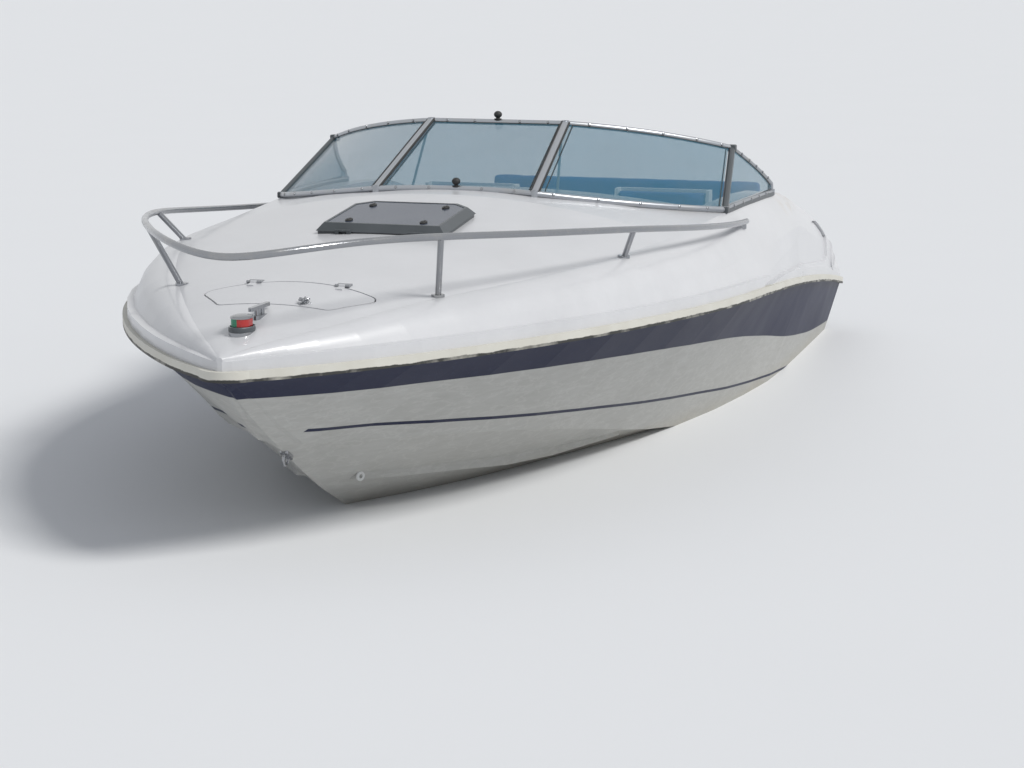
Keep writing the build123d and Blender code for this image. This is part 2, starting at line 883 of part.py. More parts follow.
with BuildPart() as pedestals:
    for side in (1, -1):
        with BuildSketch(Plane.XY.offset(sole_height)):
            with Locations((forward(seat_forward), side * helm_half)):
                Circle(150)
        extrude(amount=12)
        with BuildSketch(Plane.XY.offset(sole_height)):
            with Locations((forward(seat_forward), side * helm_half)):
                Circle(38)
        extrude(amount=seat_base - seat_gap - sole_height)
keep(pedestals, "seat_pedestals")


# Blue pads along the cockpit's sides under the coamings
with BuildPart() as coaming_pads:
    add(box_between((forward(1760), cockpit_half - 24, 772), (forward(2870), cockpit_half - seat_gap, 896)))
    fillet(coaming_pads.edges().filter_by(Axis.X), radius=9)
    mirror(about=Plane.XZ)
keep(coaming_pads, "coaming_pads")

# Anchor locker lid, a piece of the deck's own skin on two hinges
locker_axis_x = forward(locker_aft) + 22
locker_axis_z = on_deck(locker_aft + 22, locker_hinge_half) + hinge_knuckle
locker_slope = atan2(
    on_deck(locker_aft - 20, locker_hinge_half) - on_deck(locker_aft + 60, locker_hinge_half), 80
)


def locker_leaf(near, far, half_width, along=0):
    """Hinge leaves that lie on the deck, from one distance to another beside the locker's axis."""
    with BuildPart() as leaves:
        for side in (1, -1):
            with Locations(Location(
                (locker_axis_x, side * locker_hinge_half + along, locker_axis_z - hinge_knuckle),
                (0, degrees(locker_slope), 0),
            )):
                with Locations(((near + far) / 2, 0, -2)):
                    Box(far - near, 2 * half_width, 12)
        add(deck_form.part, mode=Mode.SUBTRACT)
    return leaves.part


with BuildPart() as locker_lid:
    extrude(locker_outline(moving_gap), amount=400)
    add(deck_shell.part, mode=Mode.INTERSECT)
    for side in (1, -1):
        for end in (-20, 20):
            with Locations(Location(
                (locker_axis_x, side * locker_hinge_half + end, locker_axis_z), (90, 0, 0)
            )):
                Cylinder(hinge_knuckle + 1, 16, mode=Mode.SUBTRACT)
    add(locker_leaf(0, 34, 12))
    for side in (1, -1):
        with Locations(Location((locker_axis_x, side * locker_hinge_half, locker_axis_z), (90, 0, 0))):
            Cylinder(hinge_knuckle, 24)
keep(locker_lid, "locker_lid")

with BuildPart() as hinge_leaves:
    add(locker_leaf(-34, -hinge_knuckle - 1, 27))
    for end in (-20, 20):
        add(locker_leaf(-34, 0, 7, end))
    for side in (1, -1):
        for end in (-20, 20):
            with Locations(Location(
                (locker_axis_x, side * locker_hinge_half + end, locker_axis_z), (90, 0, 0)
            )):
                Cylinder(hinge_knuckle, 14)
    add(deck_form.part, mode=Mode.SUBTRACT)
    add(door_leaves.part)
keep(hinge_leaves, "hinge_leaves")

# Foredeck hatch: a fixed base ring and a bevelled lid with its smoked lens
hatch_middle = (hatch_aft + hatch_front) / 2
hatch_length = hatch_front - hatch_aft
hatch_tilt = atan2(on_deck(hatch_aft, hatch_half) - on_deck(hatch_front, hatch_half), hatch_length)
hatch_seat = max(
    on_deck(place, half) + (place - hatch_middle) * tan(hatch_tilt)
    for place in (hatch_aft, hatch_middle, hatch_front) for half in (0, hatch_half)
)
hatch_plane = Plane(
    origin=(forward(hatch_middle), 0, hatch_seat),
    x_dir=(cos(hatch_tilt), 0, -sin(hatch_tilt)),
    z_dir=(sin(hatch_tilt), 0, cos(hatch_tilt)),
)


def hatch_outline(plane, inset):
    """The hatch's outline with its two aft corners cut off."""
    with BuildSketch(plane) as outline:
        with BuildLine():
            aft, front, half = -hatch_length / 2 + inset, hatch_length / 2 - inset, hatch_half - inset
            Polyline(
                (front, half), (front, -half), (aft + hatch_corner, -half), (aft, -half + hatch_corner),
                (aft, half - hatch_corner), (aft + hatch_corner, half), close=True,
            )
        make_face()
    return outline.sketch


lid_plane = hatch_plane.offset(hatch_base + seat_gap)
hatch_axis_reach = hatch_length / 2 + 9
hatch_axis_lift = hinge_knuckle + 1
hatch_hinge_half = 150.0


def hatch_knuckle(across, length):
    """A knuckle of the hatch's hinges with the block that carries it aft to the rim."""
    with BuildPart() as knuckle:
        with BuildSketch(Plane(
            origin=lid_plane.from_local_coords((hatch_axis_reach, across - length / 2, hatch_axis_lift)),
            x_dir=lid_plane.x_dir, z_dir=(0, 1, 0),
        )):
            Circle(hinge_knuckle)
        extrude(amount=length)
    return knuckle.part


def hatch_block(low, high):
    """A block given in the hatch's own directions."""
    with BuildPart() as block:
        with BuildSketch(lid_plane.offset(low[2])):
            with Locations(((low[0] + high[0]) / 2, (low[1] + high[1]) / 2)):
                Rectangle(high[0] - low[0], high[1] - low[1])
        extrude(amount=high[2] - low[2])
    return block.part


with BuildPart() as hatch_frame:
    extrude(hatch_outline(hatch_plane.offset(-60), 6), amount=60 + hatch_base)
    extrude(hatch_outline(hatch_plane.offset(-60), hatch_rim), amount=80, mode=Mode.SUBTRACT)
    for side in (1, -1):
        for end in (-24, 24):
            add(hatch_knuckle(side * hatch_hinge_half + end, 16))
            add(hatch_block(
                (hatch_length / 2 - 6.5, side * hatch_hinge_half + end - 8, -hatch_base - seat_gap - 30),
                (hatch_axis_reach + 3, side * hatch_hinge_half + end + 8, hatch_axis_lift - 3),
            ))
    add(hatch_block(
        (-hatch_length, -hatch_half - 5, -seat_gap), (hatch_length / 2 + 0.4, hatch_half + 5, 40)
    ), mode=Mode.SUBTRACT)
    add(deck_form.part, mode=Mode.SUBTRACT)
keep(hatch_frame, "hatch_frame")

with BuildPart() as hatch_lid:
    loft(sections=[
        hatch_outline(lid_plane, 0),
        hatch_outline(lid_plane.offset(hatch_lid_height), 26),
    ], ruled=True)
    extrude(hatch_outline(lid_plane.offset(-1), hatch_lid_rim + hatch_ledge), amount=60, mode=Mode.SUBTRACT)
    lens_seat = hatch_lid_height - hatch_lens_thickness - 2
    extrude(hatch_outline(lid_plane.offset(lens_seat), hatch_lid_rim), amount=60, mode=Mode.SUBTRACT)
    for side in (1, -1):
        add(hatch_knuckle(side * hatch_hinge_half, 30))
        add(hatch_block(
            (hatch_length / 2 - 12, side * hatch_hinge_half - 15, 1),
            (hatch_axis_reach, side * hatch_hinge_half + 15, hatch_axis_lift),
        ))
keep(hatch_lid, "hatch_lid")
with BuildPart() as hatch_lens:
    extrude(
        hatch_outline(lid_plane.offset(lens_seat + seat_gap), hatch_lid_rim + seat_gap),
        amount=hatch_lens_thickness,
    )
keep(hatch_lens, "hatch_lens")


# Windscreen
def base_point(point):
    """A windscreen point on the deck."""
    return Vector(forward(point[0]), point[1], on_deck(point[0], point[1]))


def top_point(point):
    """A windscreen point on the top rail."""
    return Vector(forward(point[2]), point[3], point[4])


def bar(path, width):
    """A frame bar along a line or arc."""
    with BuildPart(mode=Mode.PRIVATE) as piece:
        with BuildSketch(Plane(origin=path @ 0, z_dir=path % 0)):
            Circle(width / 2)
        sweep(path=path)
    return piece.part


def across(point):
    """A line across the boat from a port point to its starboard twin."""
    return Line(point, Vector(point.X, -point.Y, point.Z))


lift = Vector(0, 0, frame_height / 2)
port_base = ThreePointArc(*[base_point(p) + lift for p in (screen_post, screen_middle, screen_corner)])
port_top = ThreePointArc(*[top_point(p) for p in (screen_post, screen_middle, screen_corner)])
side_base = ThreePointArc(*[base_point(p) + lift for p in (screen_corner, screen_side, screen_end)])
side_top = ThreePointArc(*[top_point(p) for p in (screen_corner, screen_side, screen_end)])
post_line = Line(port_base @ 0, port_top @ 0)
corner_line = Line(port_base @ 1, port_top @ 1)
end_line = Line(side_base @ 1, side_top @ 1)
centre_top = across(port_top @ 0)
post_foot = port_base @ 0
crown = (on_deck(screen_post[0], 0) - on_deck(screen_post[0], screen_post[1])) / 2
crown_share = crown / ((port_top @ 0).Z - post_foot.Z)
centre_foot = Vector(
    post_foot.X + crown_share * ((port_top @ 0).X - post_foot.X), 0, post_foot.Z + crown,
)
centre_base = ThreePointArc(post_foot, centre_foot, Vector(post_foot.X, -post_foot.Y, post_foot.Z))

with BuildPart() as windscreen_frame:
    for path, width in (
        (port_base, frame_height), (port_top, frame_height), (side_base, frame_height),
        (side_top, frame_width), (post_line, post_width), (corner_line, frame_height),
        (end_line, frame_width),
    ):
        piece = bar(path, width)
        add(piece)
        add(mirror(piece, about=Plane.XZ, mode=Mode.PRIVATE))
    add(bar(centre_base, frame_height))
    add(bar(centre_top, frame_height))
    for corner in (port_base @ 1, port_top @ 1, side_base @ 1, port_top @ 0, port_base @ 0):
        for side in (1, -1):
            with Locations((corner.X, side * corner.Y, corner.Z)):
                Cylinder(frame_height / 2 + 3, frame_height + 3)
    add(deck_form.part, mode=Mode.SUBTRACT)
keep(windscreen_frame, "windscreen_frame")


def pane(low, high, low_width, high_width, steps):
    """A sheet of glass between two rails and clear of the posts at its ends, in straight steps."""
    posts = [(high @ end - low @ end).normalized() for end in (0, 1)]
    sections = []
    for index in range(steps + 1):
        places = []
        tangents = []
        for curve in (low, high):
            first, last = [pane_margin / curve.length / posts[end].cross(curve % end).length for end in (0, 1)]
            share = first + (1 - first - last) * index / steps
            places.append(curve @ share)
            tangents.append(curve % share)
        rise = (places[1] - places[0]).normalized()
        half = rise.cross((tangents[0] + tangents[1]).normalized()).normalized() * glass_thickness / 2
        near = places[0] + rise * (low_width / 2 + pane_gap) / rise.cross(tangents[0]).length
        far = places[1] - rise * (high_width / 2 + pane_gap) / rise.cross(tangents[1]).length
        sections.append(Face(Wire.make_polygon([near + half, far + half, far - half, near - half])))
    with BuildPart() as sheet:
        loft(sections=sections, ruled=True)
    return sheet.part


pane_gap = 3.2
pane_margin = post_width / 2 + pane_gap
with BuildPart() as glass_port:
    add(pane(port_base, port_top, frame_height, frame_height, 16))
    add(pane(side_base, side_top, frame_height, frame_width, 16))
keep(glass_port, "glass_port")
with BuildPart() as glass_starboard:
    add(mirror(glass_port.part, about=Plane.XZ))
keep(glass_starboard, "glass_starboard")
with BuildPart() as glass_centre:
    add(pane(centre_base, centre_top, frame_height, frame_height, 12))
keep(glass_centre, "glass_centre")

# Deck rail: a closed tube round the bow on stanchions
rail_side = [Vector(forward(x), y, z) for x, y, z in deck_rail_points]
rail_tip = Vector(forward(deck_rail_tip[0]), deck_rail_tip[1], deck_rail_tip[2])
rail_curve = Spline(*rail_side, rail_tip, *[Vector(p.X, -p.Y, p.Z) for p in reversed(rail_side)])
with BuildPart() as bow_rail:
    with BuildSketch(Plane(origin=rail_curve @ 0, z_dir=rail_curve % 0)):
        Circle(rail_tube / 2)
    sweep(path=rail_curve)
keep(bow_rail, "bow_rail")

with BuildPart() as rail_stanchions:
    for foot_place, foot_half, top_place, top_half, top_z in stanchions:
        for side in (1, -1):
            foot = Vector(forward(foot_place), side * foot_half, on_deck(foot_place, foot_half) - 6)
            top = Vector(forward(top_place), side * top_half, top_z)
            direction = (top - foot).normalized()
            with BuildSketch(Plane(origin=foot, z_dir=direction)):
                Circle(stanchion_tube / 2)
            extrude(amount=(top - foot).length)
            with BuildSketch(Plane.XY.offset(foot.Z - 10)):
                with Locations((foot.X, foot.Y)):
                    Circle(foot_radius)
            extrude(amount=16 + foot_height)
    add(deck_form.part, mode=Mode.SUBTRACT)
    add(bow_rail.part, mode=Mode.SUBTRACT)
keep(rail_stanchions, "rail_stanchions")

# Bow light: a plinth and cap of one casting, a red lens to port and a green one to starboard
nav_forward = 5875.0
nav_plinth = 20.0
nav_lens_height = 26.0
nav_z = on_deck(nav_forward, 0) + nav_plinth


def nav_slot(height, inset, thickness):
    """A slot-shaped slab of the bow light."""
    with BuildPart() as slab:
        with BuildSketch(Plane.XY.offset(height)):
            with Locations((forward(nav_forward), 0)):
                SlotOverall(104 - inset, 80 - inset)
        extrude(amount=thickness)
    return slab.part


with BuildPart() as nav_light:
    add(nav_slot(nav_z - 60, 0, 60))
    add(nav_slot(nav_z, 50, nav_lens_height))
    add(nav_slot(nav_z + nav_lens_height, 12, 7))
    add(deck_form.part, mode=Mode.SUBTRACT)
keep(nav_light, "nav_light")
for name, side in (("nav_lens_port", 1), ("nav_lens_starboard", -1)):
    with BuildPart() as lens:
        add(nav_slot(nav_z, 16, nav_lens_height))
        add(nav_slot(nav_z, 50, nav_lens_height), mode=Mode.SUBTRACT)
        add(box_between(
            (forward(nav_forward) - 80, min(0, -side * 60), nav_z - 5),
            (forward(nav_forward) + 80, max(0, -side * 60), nav_z + 60),
        ), mode=Mode.SUBTRACT)
    keep(lens, name)


def cleat(place, half, turn, length):
    """A horned cleat on its two-footed base."""
    height = on_deck(place, half)
    with BuildPart() as piece:
        with BuildSketch(Plane.XY.offset(height - 20)):
            with Locations(Location((forward(place), half), turn)):
                SlotOverall(length * 0.55, 34)
        extrude(amount=26)
        with BuildSketch(Plane.XY.offset(height)):
            with Locations(Location((forward(place), half), turn)):
                with Locations((-length * 0.14, 0), (length * 0.14, 0)):
                    Circle(9)
        extrude(amount=34)
        with BuildSketch(Plane.XY.offset(height + 26)):
            with Locations(Location((forward(place), half), turn)):
                SlotOverall(length, 17)
        extrude(amount=13)
        add(deck_form.part, mode=Mode.SUBTRACT)
    return piece.part


def eye_bolt(origin, along, outward):
    """A bent rod on a plate: along its plate and outward from the moulding."""
    z_dir = Vector(*along).cross(Vector(*outward))
    with BuildPart() as piece:
        with BuildLine(Plane(origin=origin, x_dir=along, z_dir=z_dir)) as path:
            Line((-eye_half, -20), (-eye_half, eye_reach))
            ThreePointArc((-eye_half, eye_reach), (0, eye_reach + eye_half), (eye_half, eye_reach))
            Line((eye_half, eye_reach), (eye_half, -20))
        with BuildSketch(Plane(origin=path.wire() @ 0, z_dir=path.wire() % 0)):
            RegularPolygon(eye_rod / 2, 8)
        sweep(path=path.wire())
        with BuildSketch(Plane(origin=origin, x_dir=along, z_dir=outward).offset(-12)):
            SlotOverall(3.6 * eye_half, 30)
        extrude(amount=16)
    return piece.part


# Cleats: forward, half-breadth, turn, length
with BuildPart() as cleats:
    for row in [(5725, 0, 0, 165), (780, 1010, 4, 150), (780, -1010, -4, 150)]:
        add(cleat(*row))
keep(cleats, "cleats")

# Eyes: one on the stem and two on the transom
eye_rod = 10.0
eye_half = 22.0
eye_reach = 16.0
stem_eye = 5500.0
stern_eye_half = 780.0
stern_eye_z = 120.0
stem_slope = atan2(fair(hull_table, stem_eye + 60, 1) - fair(hull_table, stem_eye - 60, 1), 120)
transom_lean = radians(transom_rake)
with BuildPart() as eyes:
    add(eye_bolt(
        (forward(stem_eye), 0, fair(hull_table, stem_eye, 1)),
        (cos(stem_slope), 0, sin(stem_slope)), (sin(stem_slope), 0, -cos(stem_slope)),
    ))
    for side in (1, -1):
        add(eye_bolt(
            (forward((joint_height(0) - stern_eye_z) * tan(transom_lean)), side * stern_eye_half, stern_eye_z),
            (0, 1, 0), (-cos(transom_lean), 0, -sin(transom_lean)),
        ))
    add(hull_form.part - behind_transom(0), mode=Mode.SUBTRACT)
keep(eyes, "eyes")

# Sterndrive, with its transom shield
gimbal = Vector(forward(gimbal_forward), 0, gimbal_z)
shield_plane = Plane(
    origin=(forward((joint_height(0) - gimbal_z) * tan(transom_lean)), 0, gimbal_z),
    x_dir=(0, 1, 0),
    z_dir=(-cos(transom_lean), 0, -sin(transom_lean)),
)
shield_thickness = 25.0
lug_inner = 136.0
lug_thickness = 24.0
lug_radius = 22.0
pin_radius = 10.0
pin_gap = 0.4
with BuildPart() as transom_shield:
    with BuildSketch(shield_plane):
        RectangleRounded(360, 430, 70)
    extrude(amount=shield_thickness)
    for side in (1, -1):
        low = min(side * lug_inner, side * (lug_inner + lug_thickness))
        with BuildSketch(Plane.XY.offset(gimbal_z + low)):
            with BuildLine():
                Polyline(
                    (gimbal.X, lug_radius), (forward(150), 2.6 * lug_radius),
                    (forward(150), -2.6 * lug_radius), (gimbal.X, -lug_radius), close=True,
                )
            make_face()
            with Locations((gimbal.X, 0)):
                Circle(lug_radius)
        extrude(amount=lug_thickness)
        with Locations((gimbal.X, 0, gimbal_z + side * (lug_inner + lug_thickness / 2))):
            Cylinder(pin_radius + pin_gap, lug_thickness + 2, mode=Mode.SUBTRACT)
    add(hull_form.part - behind_transom(0), mode=Mode.SUBTRACT)
keep(transom_shield, "transom_shield")

ring_half = 120.0
ring_height = 260.0
ring_inner = 92.0
ring_depth = 44.0
anchor_half = 150.0
barrel_front = (-10.0, -112.0)
rod_anchor = (-300.0, -30.0)
with BuildPart() as gimbal_ring:
    with BuildSketch(Plane.YZ.offset(gimbal.X - ring_depth / 2)):
        with Locations((0, gimbal_z)):
            RectangleRounded(2 * ring_half, ring_height, 40)
            RectangleRounded(2 * ring_inner, ring_height - 60, 24, mode=Mode.SUBTRACT)
    extrude(amount=ring_depth)
    for side in (1, -1):
        with Locations((gimbal.X, 0, gimbal_z + side * (ring_height / 2 + 14))):
            Cylinder(pin_radius, 34)
        with Locations(Location((gimbal.X, side * (ring_half - 14), gimbal_z), (90, 0, 0))):
            Cylinder(pin_radius + pin_gap, 60, mode=Mode.SUBTRACT)
        with Locations(Location(
            (gimbal.X + barrel_front[0], side * (ring_half + 20), gimbal_z + barrel_front[1]), (90, 0, 0)
        )):
            Cylinder(8, 48)
keep(gimbal_ring, "gimbal_ring")

# Drive leg, side view about the tilt axis: aft of the axis is negative
leg_profile = [
    (-40, 40), (-105, 44), (-140, 80), (-180, 110), (-300, 98), (-330, 60), (-330, -40),
    (-285, -110), (-262, -190), (-255, -330), (-262, -360), (-130, -360), (-138, -330), (-128, -190),
    (-108, -110), (-40, -40),
]
leg_half = 62.0
with BuildPart() as drive_leg:
    with BuildSketch(Plane.XZ.offset(-leg_half)):
        with BuildLine():
            Polyline(*[(gimbal.X + x, gimbal_z + z) for x, z in leg_profile], close=True)
        make_face()
    extrude(amount=2 * leg_half)
    with Locations(Location((gimbal.X, 0, gimbal_z), (90, 0, 0))):
        Cylinder(50, 2 * (ring_inner - moving_gap))
        Cylinder(pin_radius, 2 * ring_half)
    with BuildSketch(Plane.XY.offset(gimbal_z - shaft_drop + propeller_radius + 22)):
        with BuildLine():
            Polyline(
                (gimbal.X - 110, 40), (gimbal.X - 250, 95), (gimbal.X - 520, 95),
                (gimbal.X - 520, -95), (gimbal.X - 250, -95), (gimbal.X - 110, -40), close=True,
            )
        make_face()
    extrude(amount=10)
    with Locations(Location((gimbal.X + rod_anchor[0], 0, gimbal_z + rod_anchor[1]), (90, 0, 0))):
        Cylinder(7, 2 * (anchor_half + 14))

# Lower unit: torpedo, skeg and propeller shaft, cast with the leg
gearcase_radius = 52.0
shaft_z = gimbal_z - shaft_drop
with BuildPart() as gearcase:
    nose_x = gimbal.X - 70
    tail_x = gimbal.X - propeller_aft + 60
    with BuildSketch(Plane.XZ):
        with BuildLine():
            ThreePointArc(
                (nose_x, shaft_z), (nose_x - 34, shaft_z + 38), (nose_x - 110, shaft_z + gearcase_radius)
            )
            Polyline(
                (nose_x - 110, shaft_z + gearcase_radius), (tail_x, shaft_z + gearcase_radius),
                (tail_x, shaft_z), (nose_x, shaft_z),
            )
        make_face()
    revolve(axis=Axis((0, 0, shaft_z), (1, 0, 0)), revolution_arc=360)
    with BuildSketch(Plane.XZ.offset(-7)):
        with BuildLine():
            Polyline(
                (gimbal.X - 130, shaft_z), (gimbal.X - 265, shaft_z), (gimbal.X - 300, shaft_z - 205),
                (gimbal.X - 250, shaft_z - 215), close=True,
            )
        make_face()
    extrude(amount=14)
    with Locations(Location((gimbal.X - propeller_aft + 20, 0, shaft_z), (0, 90, 0))):
        Cylinder(12, 170)

with BuildPart() as sterndrive:
    add(drive_leg.part)
    add(gearcase.part)
keep(sterndrive, "drive_leg")

# Propeller: three pitched blades on a hub
hub_radius = 48.0
pitch = 430.0
# Blade sections: radius, chord, thickness
blade_sections = [(40, 84, 14), (78, 112, 11), (120, 126, 8), (158, 104, 6), (180, 52, 4)]


def blade(turn):
    """One propeller blade, its lens-shaped sections pitched less and less towards the tip."""
    outward = Vector(0, sin(radians(turn)), cos(radians(turn)))
    sections = []
    for radius, chord, thick in blade_sections:
        lead = degrees(atan2(pitch, 2 * pi * radius))
        plane = Plane(
            origin=Vector(gimbal.X - propeller_aft, 0, shaft_z) + outward * radius,
            x_dir=(1, 0, 0), z_dir=outward,
        )
        with BuildSketch(plane.rotated((0, 0, 90 - lead))) as section:
            with BuildLine():
                Polyline(
                    (-chord / 2, 0), (-chord / 4, thick / 2), (chord / 4, thick / 2),
                    (chord / 2, 0), (chord / 4, -thick / 2), (-chord / 4, -thick / 2), close=True,
                )
            make_face()
        sections.append(section.sketch)
    with BuildPart() as piece:
        loft(sections=sections, ruled=True)
    return piece.part


with BuildPart() as propeller:
    with Locations(Location((gimbal.X - propeller_aft, 0, shaft_z), (0, 90, 0))):
        Cylinder(hub_radius, 106)
    for index in range(blade_count):
        add(blade(360 / blade_count * index))
    with Locations(Location((gimbal.X - propeller_aft, 0, shaft_z), (0, 90, 0))):
        Cylinder(12.4, 300, mode=Mode.SUBTRACT)
keep(propeller, "propeller")

# Trim cylinders: barrels on the gimbal ring, rods to the leg
reach = sqrt((rod_anchor[0] - barrel_front[0]) ** 2 + (rod_anchor[1] - barrel_front[1]) ** 2)
trim_axis = Vector(
    (rod_anchor[0] - barrel_front[0]) / reach, 0, (rod_anchor[1] - barrel_front[1]) / reach
)
with BuildPart() as trim_barrels:
    for side in (1, -1):
        eye = Vector(gimbal.X + barrel_front[0], side * anchor_half, gimbal_z + barrel_front[1])
        with BuildSketch(Plane(origin=eye + trim_axis * 14, z_dir=trim_axis)):
            Circle(20)
        extrude(amount=176)
        with Locations(Location(eye, (90, 0, 0))):
            Cylinder(17, 26)
            Cylinder(8 + pin_gap, 30, mode=Mode.SUBTRACT)
        with BuildSketch(Plane(origin=eye + trim_axis * 60, z_dir=trim_axis)):
            Circle(8 + pin_gap)
        extrude(amount=200, mode=Mode.SUBTRACT)
keep(trim_barrels, "trim_barrels")
with BuildPart() as trim_rods:
    for side in (1, -1):
        eye = Vector(gimbal.X + rod_anchor[0], side * anchor_half, gimbal_z + rod_anchor[1])
        with BuildSketch(Plane(origin=eye - trim_axis * 20, z_dir=-trim_axis)):
            Circle(8)
        extrude(amount=200)
        with Locations(Location(eye, (90, 0, 0))):
            Cylinder(24, 22)
            Cylinder(15, 30, mode=Mode.SUBTRACT)
keep(trim_rods, "trim_rods")

# Oval vents on the quarters: a rim and slats standing proud of the moulding
def vent_block(half_length, half_height):
    """An oval carried across the boat at the vents."""
    with BuildPart() as block:
        with BuildSketch(Plane.XZ):
            with Locations(Location((forward(vent_forward), vent_height), -vent_tilt)):
                Ellipse(half_length, half_height)
        extrude(amount=1300, both=True)
    return block.part


with BuildPart() as vent_shapes:
    add(vent_block(vent_half_length, vent_half_height))
    add(vent_block(vent_half_length - vent_rim, vent_half_height - vent_rim), mode=Mode.SUBTRACT)

vent_layer = deck_layer(-vent_proud, 150, 700)
slat_layer = deck_layer(-0.6 * vent_proud, 150, 700)
with BuildPart() as slats:
    with BuildSketch(Plane.XZ):
        with Locations(Location((forward(vent_forward), vent_height), -vent_tilt)):
            pitch_between = 2 * (vent_half_height - vent_rim) / vent_slats
            with GridLocations(0, pitch_between, 1, vent_slats):
                Rectangle(2 * vent_half_length, 0.5 * pitch_between)
    extrude(amount=1300, both=True)
    add(vent_block(vent_half_length - 2, vent_half_height - 2), mode=Mode.INTERSECT)
with BuildPart() as quarter_vents:
    add(vent_shapes.part & vent_layer)
    add(slats.part & slat_layer)
    add(box_between((forward(0), -1000, 0), (forward(900), 1000, 1000)), mode=Mode.SUBTRACT)
    add(deck_form.part, mode=Mode.SUBTRACT)
keep(quarter_vents, "quarter_vents")

os.makedirs("parts", exist_ok=True)
for name, piece in parts.items():
    export_step(piece, f"parts/{name}.step")
    print(name, len(piece.solids()), round(piece.volume / 1e6, 2), piece.is_valid)
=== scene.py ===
# %% [markdown]
# A cuddy-cabin speedboat afloat, dressed around its CAD frame.
# The frame gives every rigid piece at its real place and size, in metres. x runs forward, y to port and
# z up from the waterline. This lesson gives each of those pieces its finish, and models the soft and small
# pieces that CAD leaves plain.

import json
from math import cos, pi, radians, sin

import bpy
from mathutils import Matrix, Vector


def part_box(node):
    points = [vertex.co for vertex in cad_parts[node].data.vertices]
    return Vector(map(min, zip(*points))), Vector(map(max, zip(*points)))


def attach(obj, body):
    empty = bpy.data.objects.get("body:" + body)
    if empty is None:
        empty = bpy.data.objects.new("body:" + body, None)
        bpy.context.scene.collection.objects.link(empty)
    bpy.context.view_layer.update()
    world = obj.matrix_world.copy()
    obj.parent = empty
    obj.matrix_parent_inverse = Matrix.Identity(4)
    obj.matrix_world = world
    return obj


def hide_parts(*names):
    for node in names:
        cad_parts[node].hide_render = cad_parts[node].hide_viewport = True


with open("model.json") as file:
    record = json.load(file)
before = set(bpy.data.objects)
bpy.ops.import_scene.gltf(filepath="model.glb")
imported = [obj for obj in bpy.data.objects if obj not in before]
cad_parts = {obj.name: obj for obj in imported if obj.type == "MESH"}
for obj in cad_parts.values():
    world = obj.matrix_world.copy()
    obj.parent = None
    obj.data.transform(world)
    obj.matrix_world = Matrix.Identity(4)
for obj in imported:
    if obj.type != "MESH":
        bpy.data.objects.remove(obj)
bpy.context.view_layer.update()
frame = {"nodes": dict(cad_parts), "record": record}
nodes = frame["nodes"]

# %% [markdown]
# The camera stands off the port bow, well above the foredeck. Its place and turn come from fitting the boat's
# own symmetry and straight edges, so it is set by a matrix, whose three columns are right, up and back. The
# Standard view transform keeps colours as written.

# %% Camera
camera_data = bpy.data.cameras.new("bow_view")
camera_data.sensor_width = 36.0
camera_data.lens = 80.14
camera_data.clip_end = 200.0
camera = bpy.data.objects.new("bow_view", camera_data)
bpy.context.scene.collection.objects.link(camera)
right = Vector((-0.28456152, 0.95865059, 0.00371371))
up = Vector((-0.17040581, -0.05439391, 0.98387152))
ahead = Vector((-0.94339101, -0.27933914, -0.17883805))
turn = Matrix((right, up, -ahead)).transposed().to_4x4()
camera.matrix_world = Matrix.Translation((10.24446, 3.00659, 2.00448)) @ turn
bpy.context.scene.camera = camera
bpy.context.scene.view_settings.view_transform = "Standard"
print("camera at", [round(v, 2) for v in camera.location])

# %% [markdown]
# A material is a small program of nodes. Written as arithmetic it is easy to read, so a Wire stands for one
# output of a node, and Python's own operators on it add Math nodes. Every other node comes from its node()
# method, which sets the node's settings first and then its sockets.


# %% Shader arithmetic
class Wire:
    """One output in a material's node tree."""

    def __init__(self, tree, socket=None):
        self.tree = tree
        self.socket = socket

    def node(self, kind, settings=None, inputs=None, output=0):
        made = self.tree.nodes.new(kind)
        for key, value in (settings or {}).items():
            if key == "points":
                curve = made.mapping.curves[0]
                while len(curve.points) < len(value):
                    curve.points.new(0.5, 0.5)
                for point, place in zip(curve.points, value):
                    point.location = place
                made.mapping.update()
            else:
                setattr(made, key, value)
        for key, value in (inputs or {}).items():
            if isinstance(value, Wire):
                self.tree.links.new(value.socket, made.inputs[key])
            else:
                made.inputs[key].default_value = value
        return Wire(self.tree, made.outputs[output])

    def maths(self, operation, *terms, clamp=False):
        settings = {"operation": operation, "use_clamp": clamp}
        return self.node("ShaderNodeMath", settings, dict(enumerate(terms)))

    def __add__(self, other):
        return self.maths("ADD", self, other)

    __radd__ = __add__

    def __sub__(self, other):
        return self.maths("SUBTRACT", self, other)

    def __rsub__(self, other):
        return self.maths("SUBTRACT", other, self)

    def __mul__(self, other):
        return self.maths("MULTIPLY", self, other)

    __rmul__ = __mul__

    def __truediv__(self, other):
        return self.maths("DIVIDE", self, other)

    def clamped(self):
        return self.maths("ADD", self, 0.0, clamp=True)

    def size(self):
        return self.maths("ABSOLUTE", self)

    def above(self, level, softness=0.001):
        """1 where this value is above a level, 0 below it, over a soft edge."""
        return self.maths("DIVIDE", self - level + softness / 2, softness, clamp=True)


def mix(mask, below, above):
    """A colour that goes from below to above as the mask goes from 0 to 1."""
    fill = {0: mask, 6: below, 7: above}
    for key in (6, 7):
        if isinstance(fill[key], tuple):
            fill[key] = (*fill[key], 1.0)
    return mask.node("ShaderNodeMix", {"data_type": "RGBA"}, fill, output=2)


# %% [markdown]
# Every finish starts from the same things: the place on the object, and noises of a chosen grain. They are
# read from Object coordinates, which on a piece whose origin is the world's are metres on the boat.


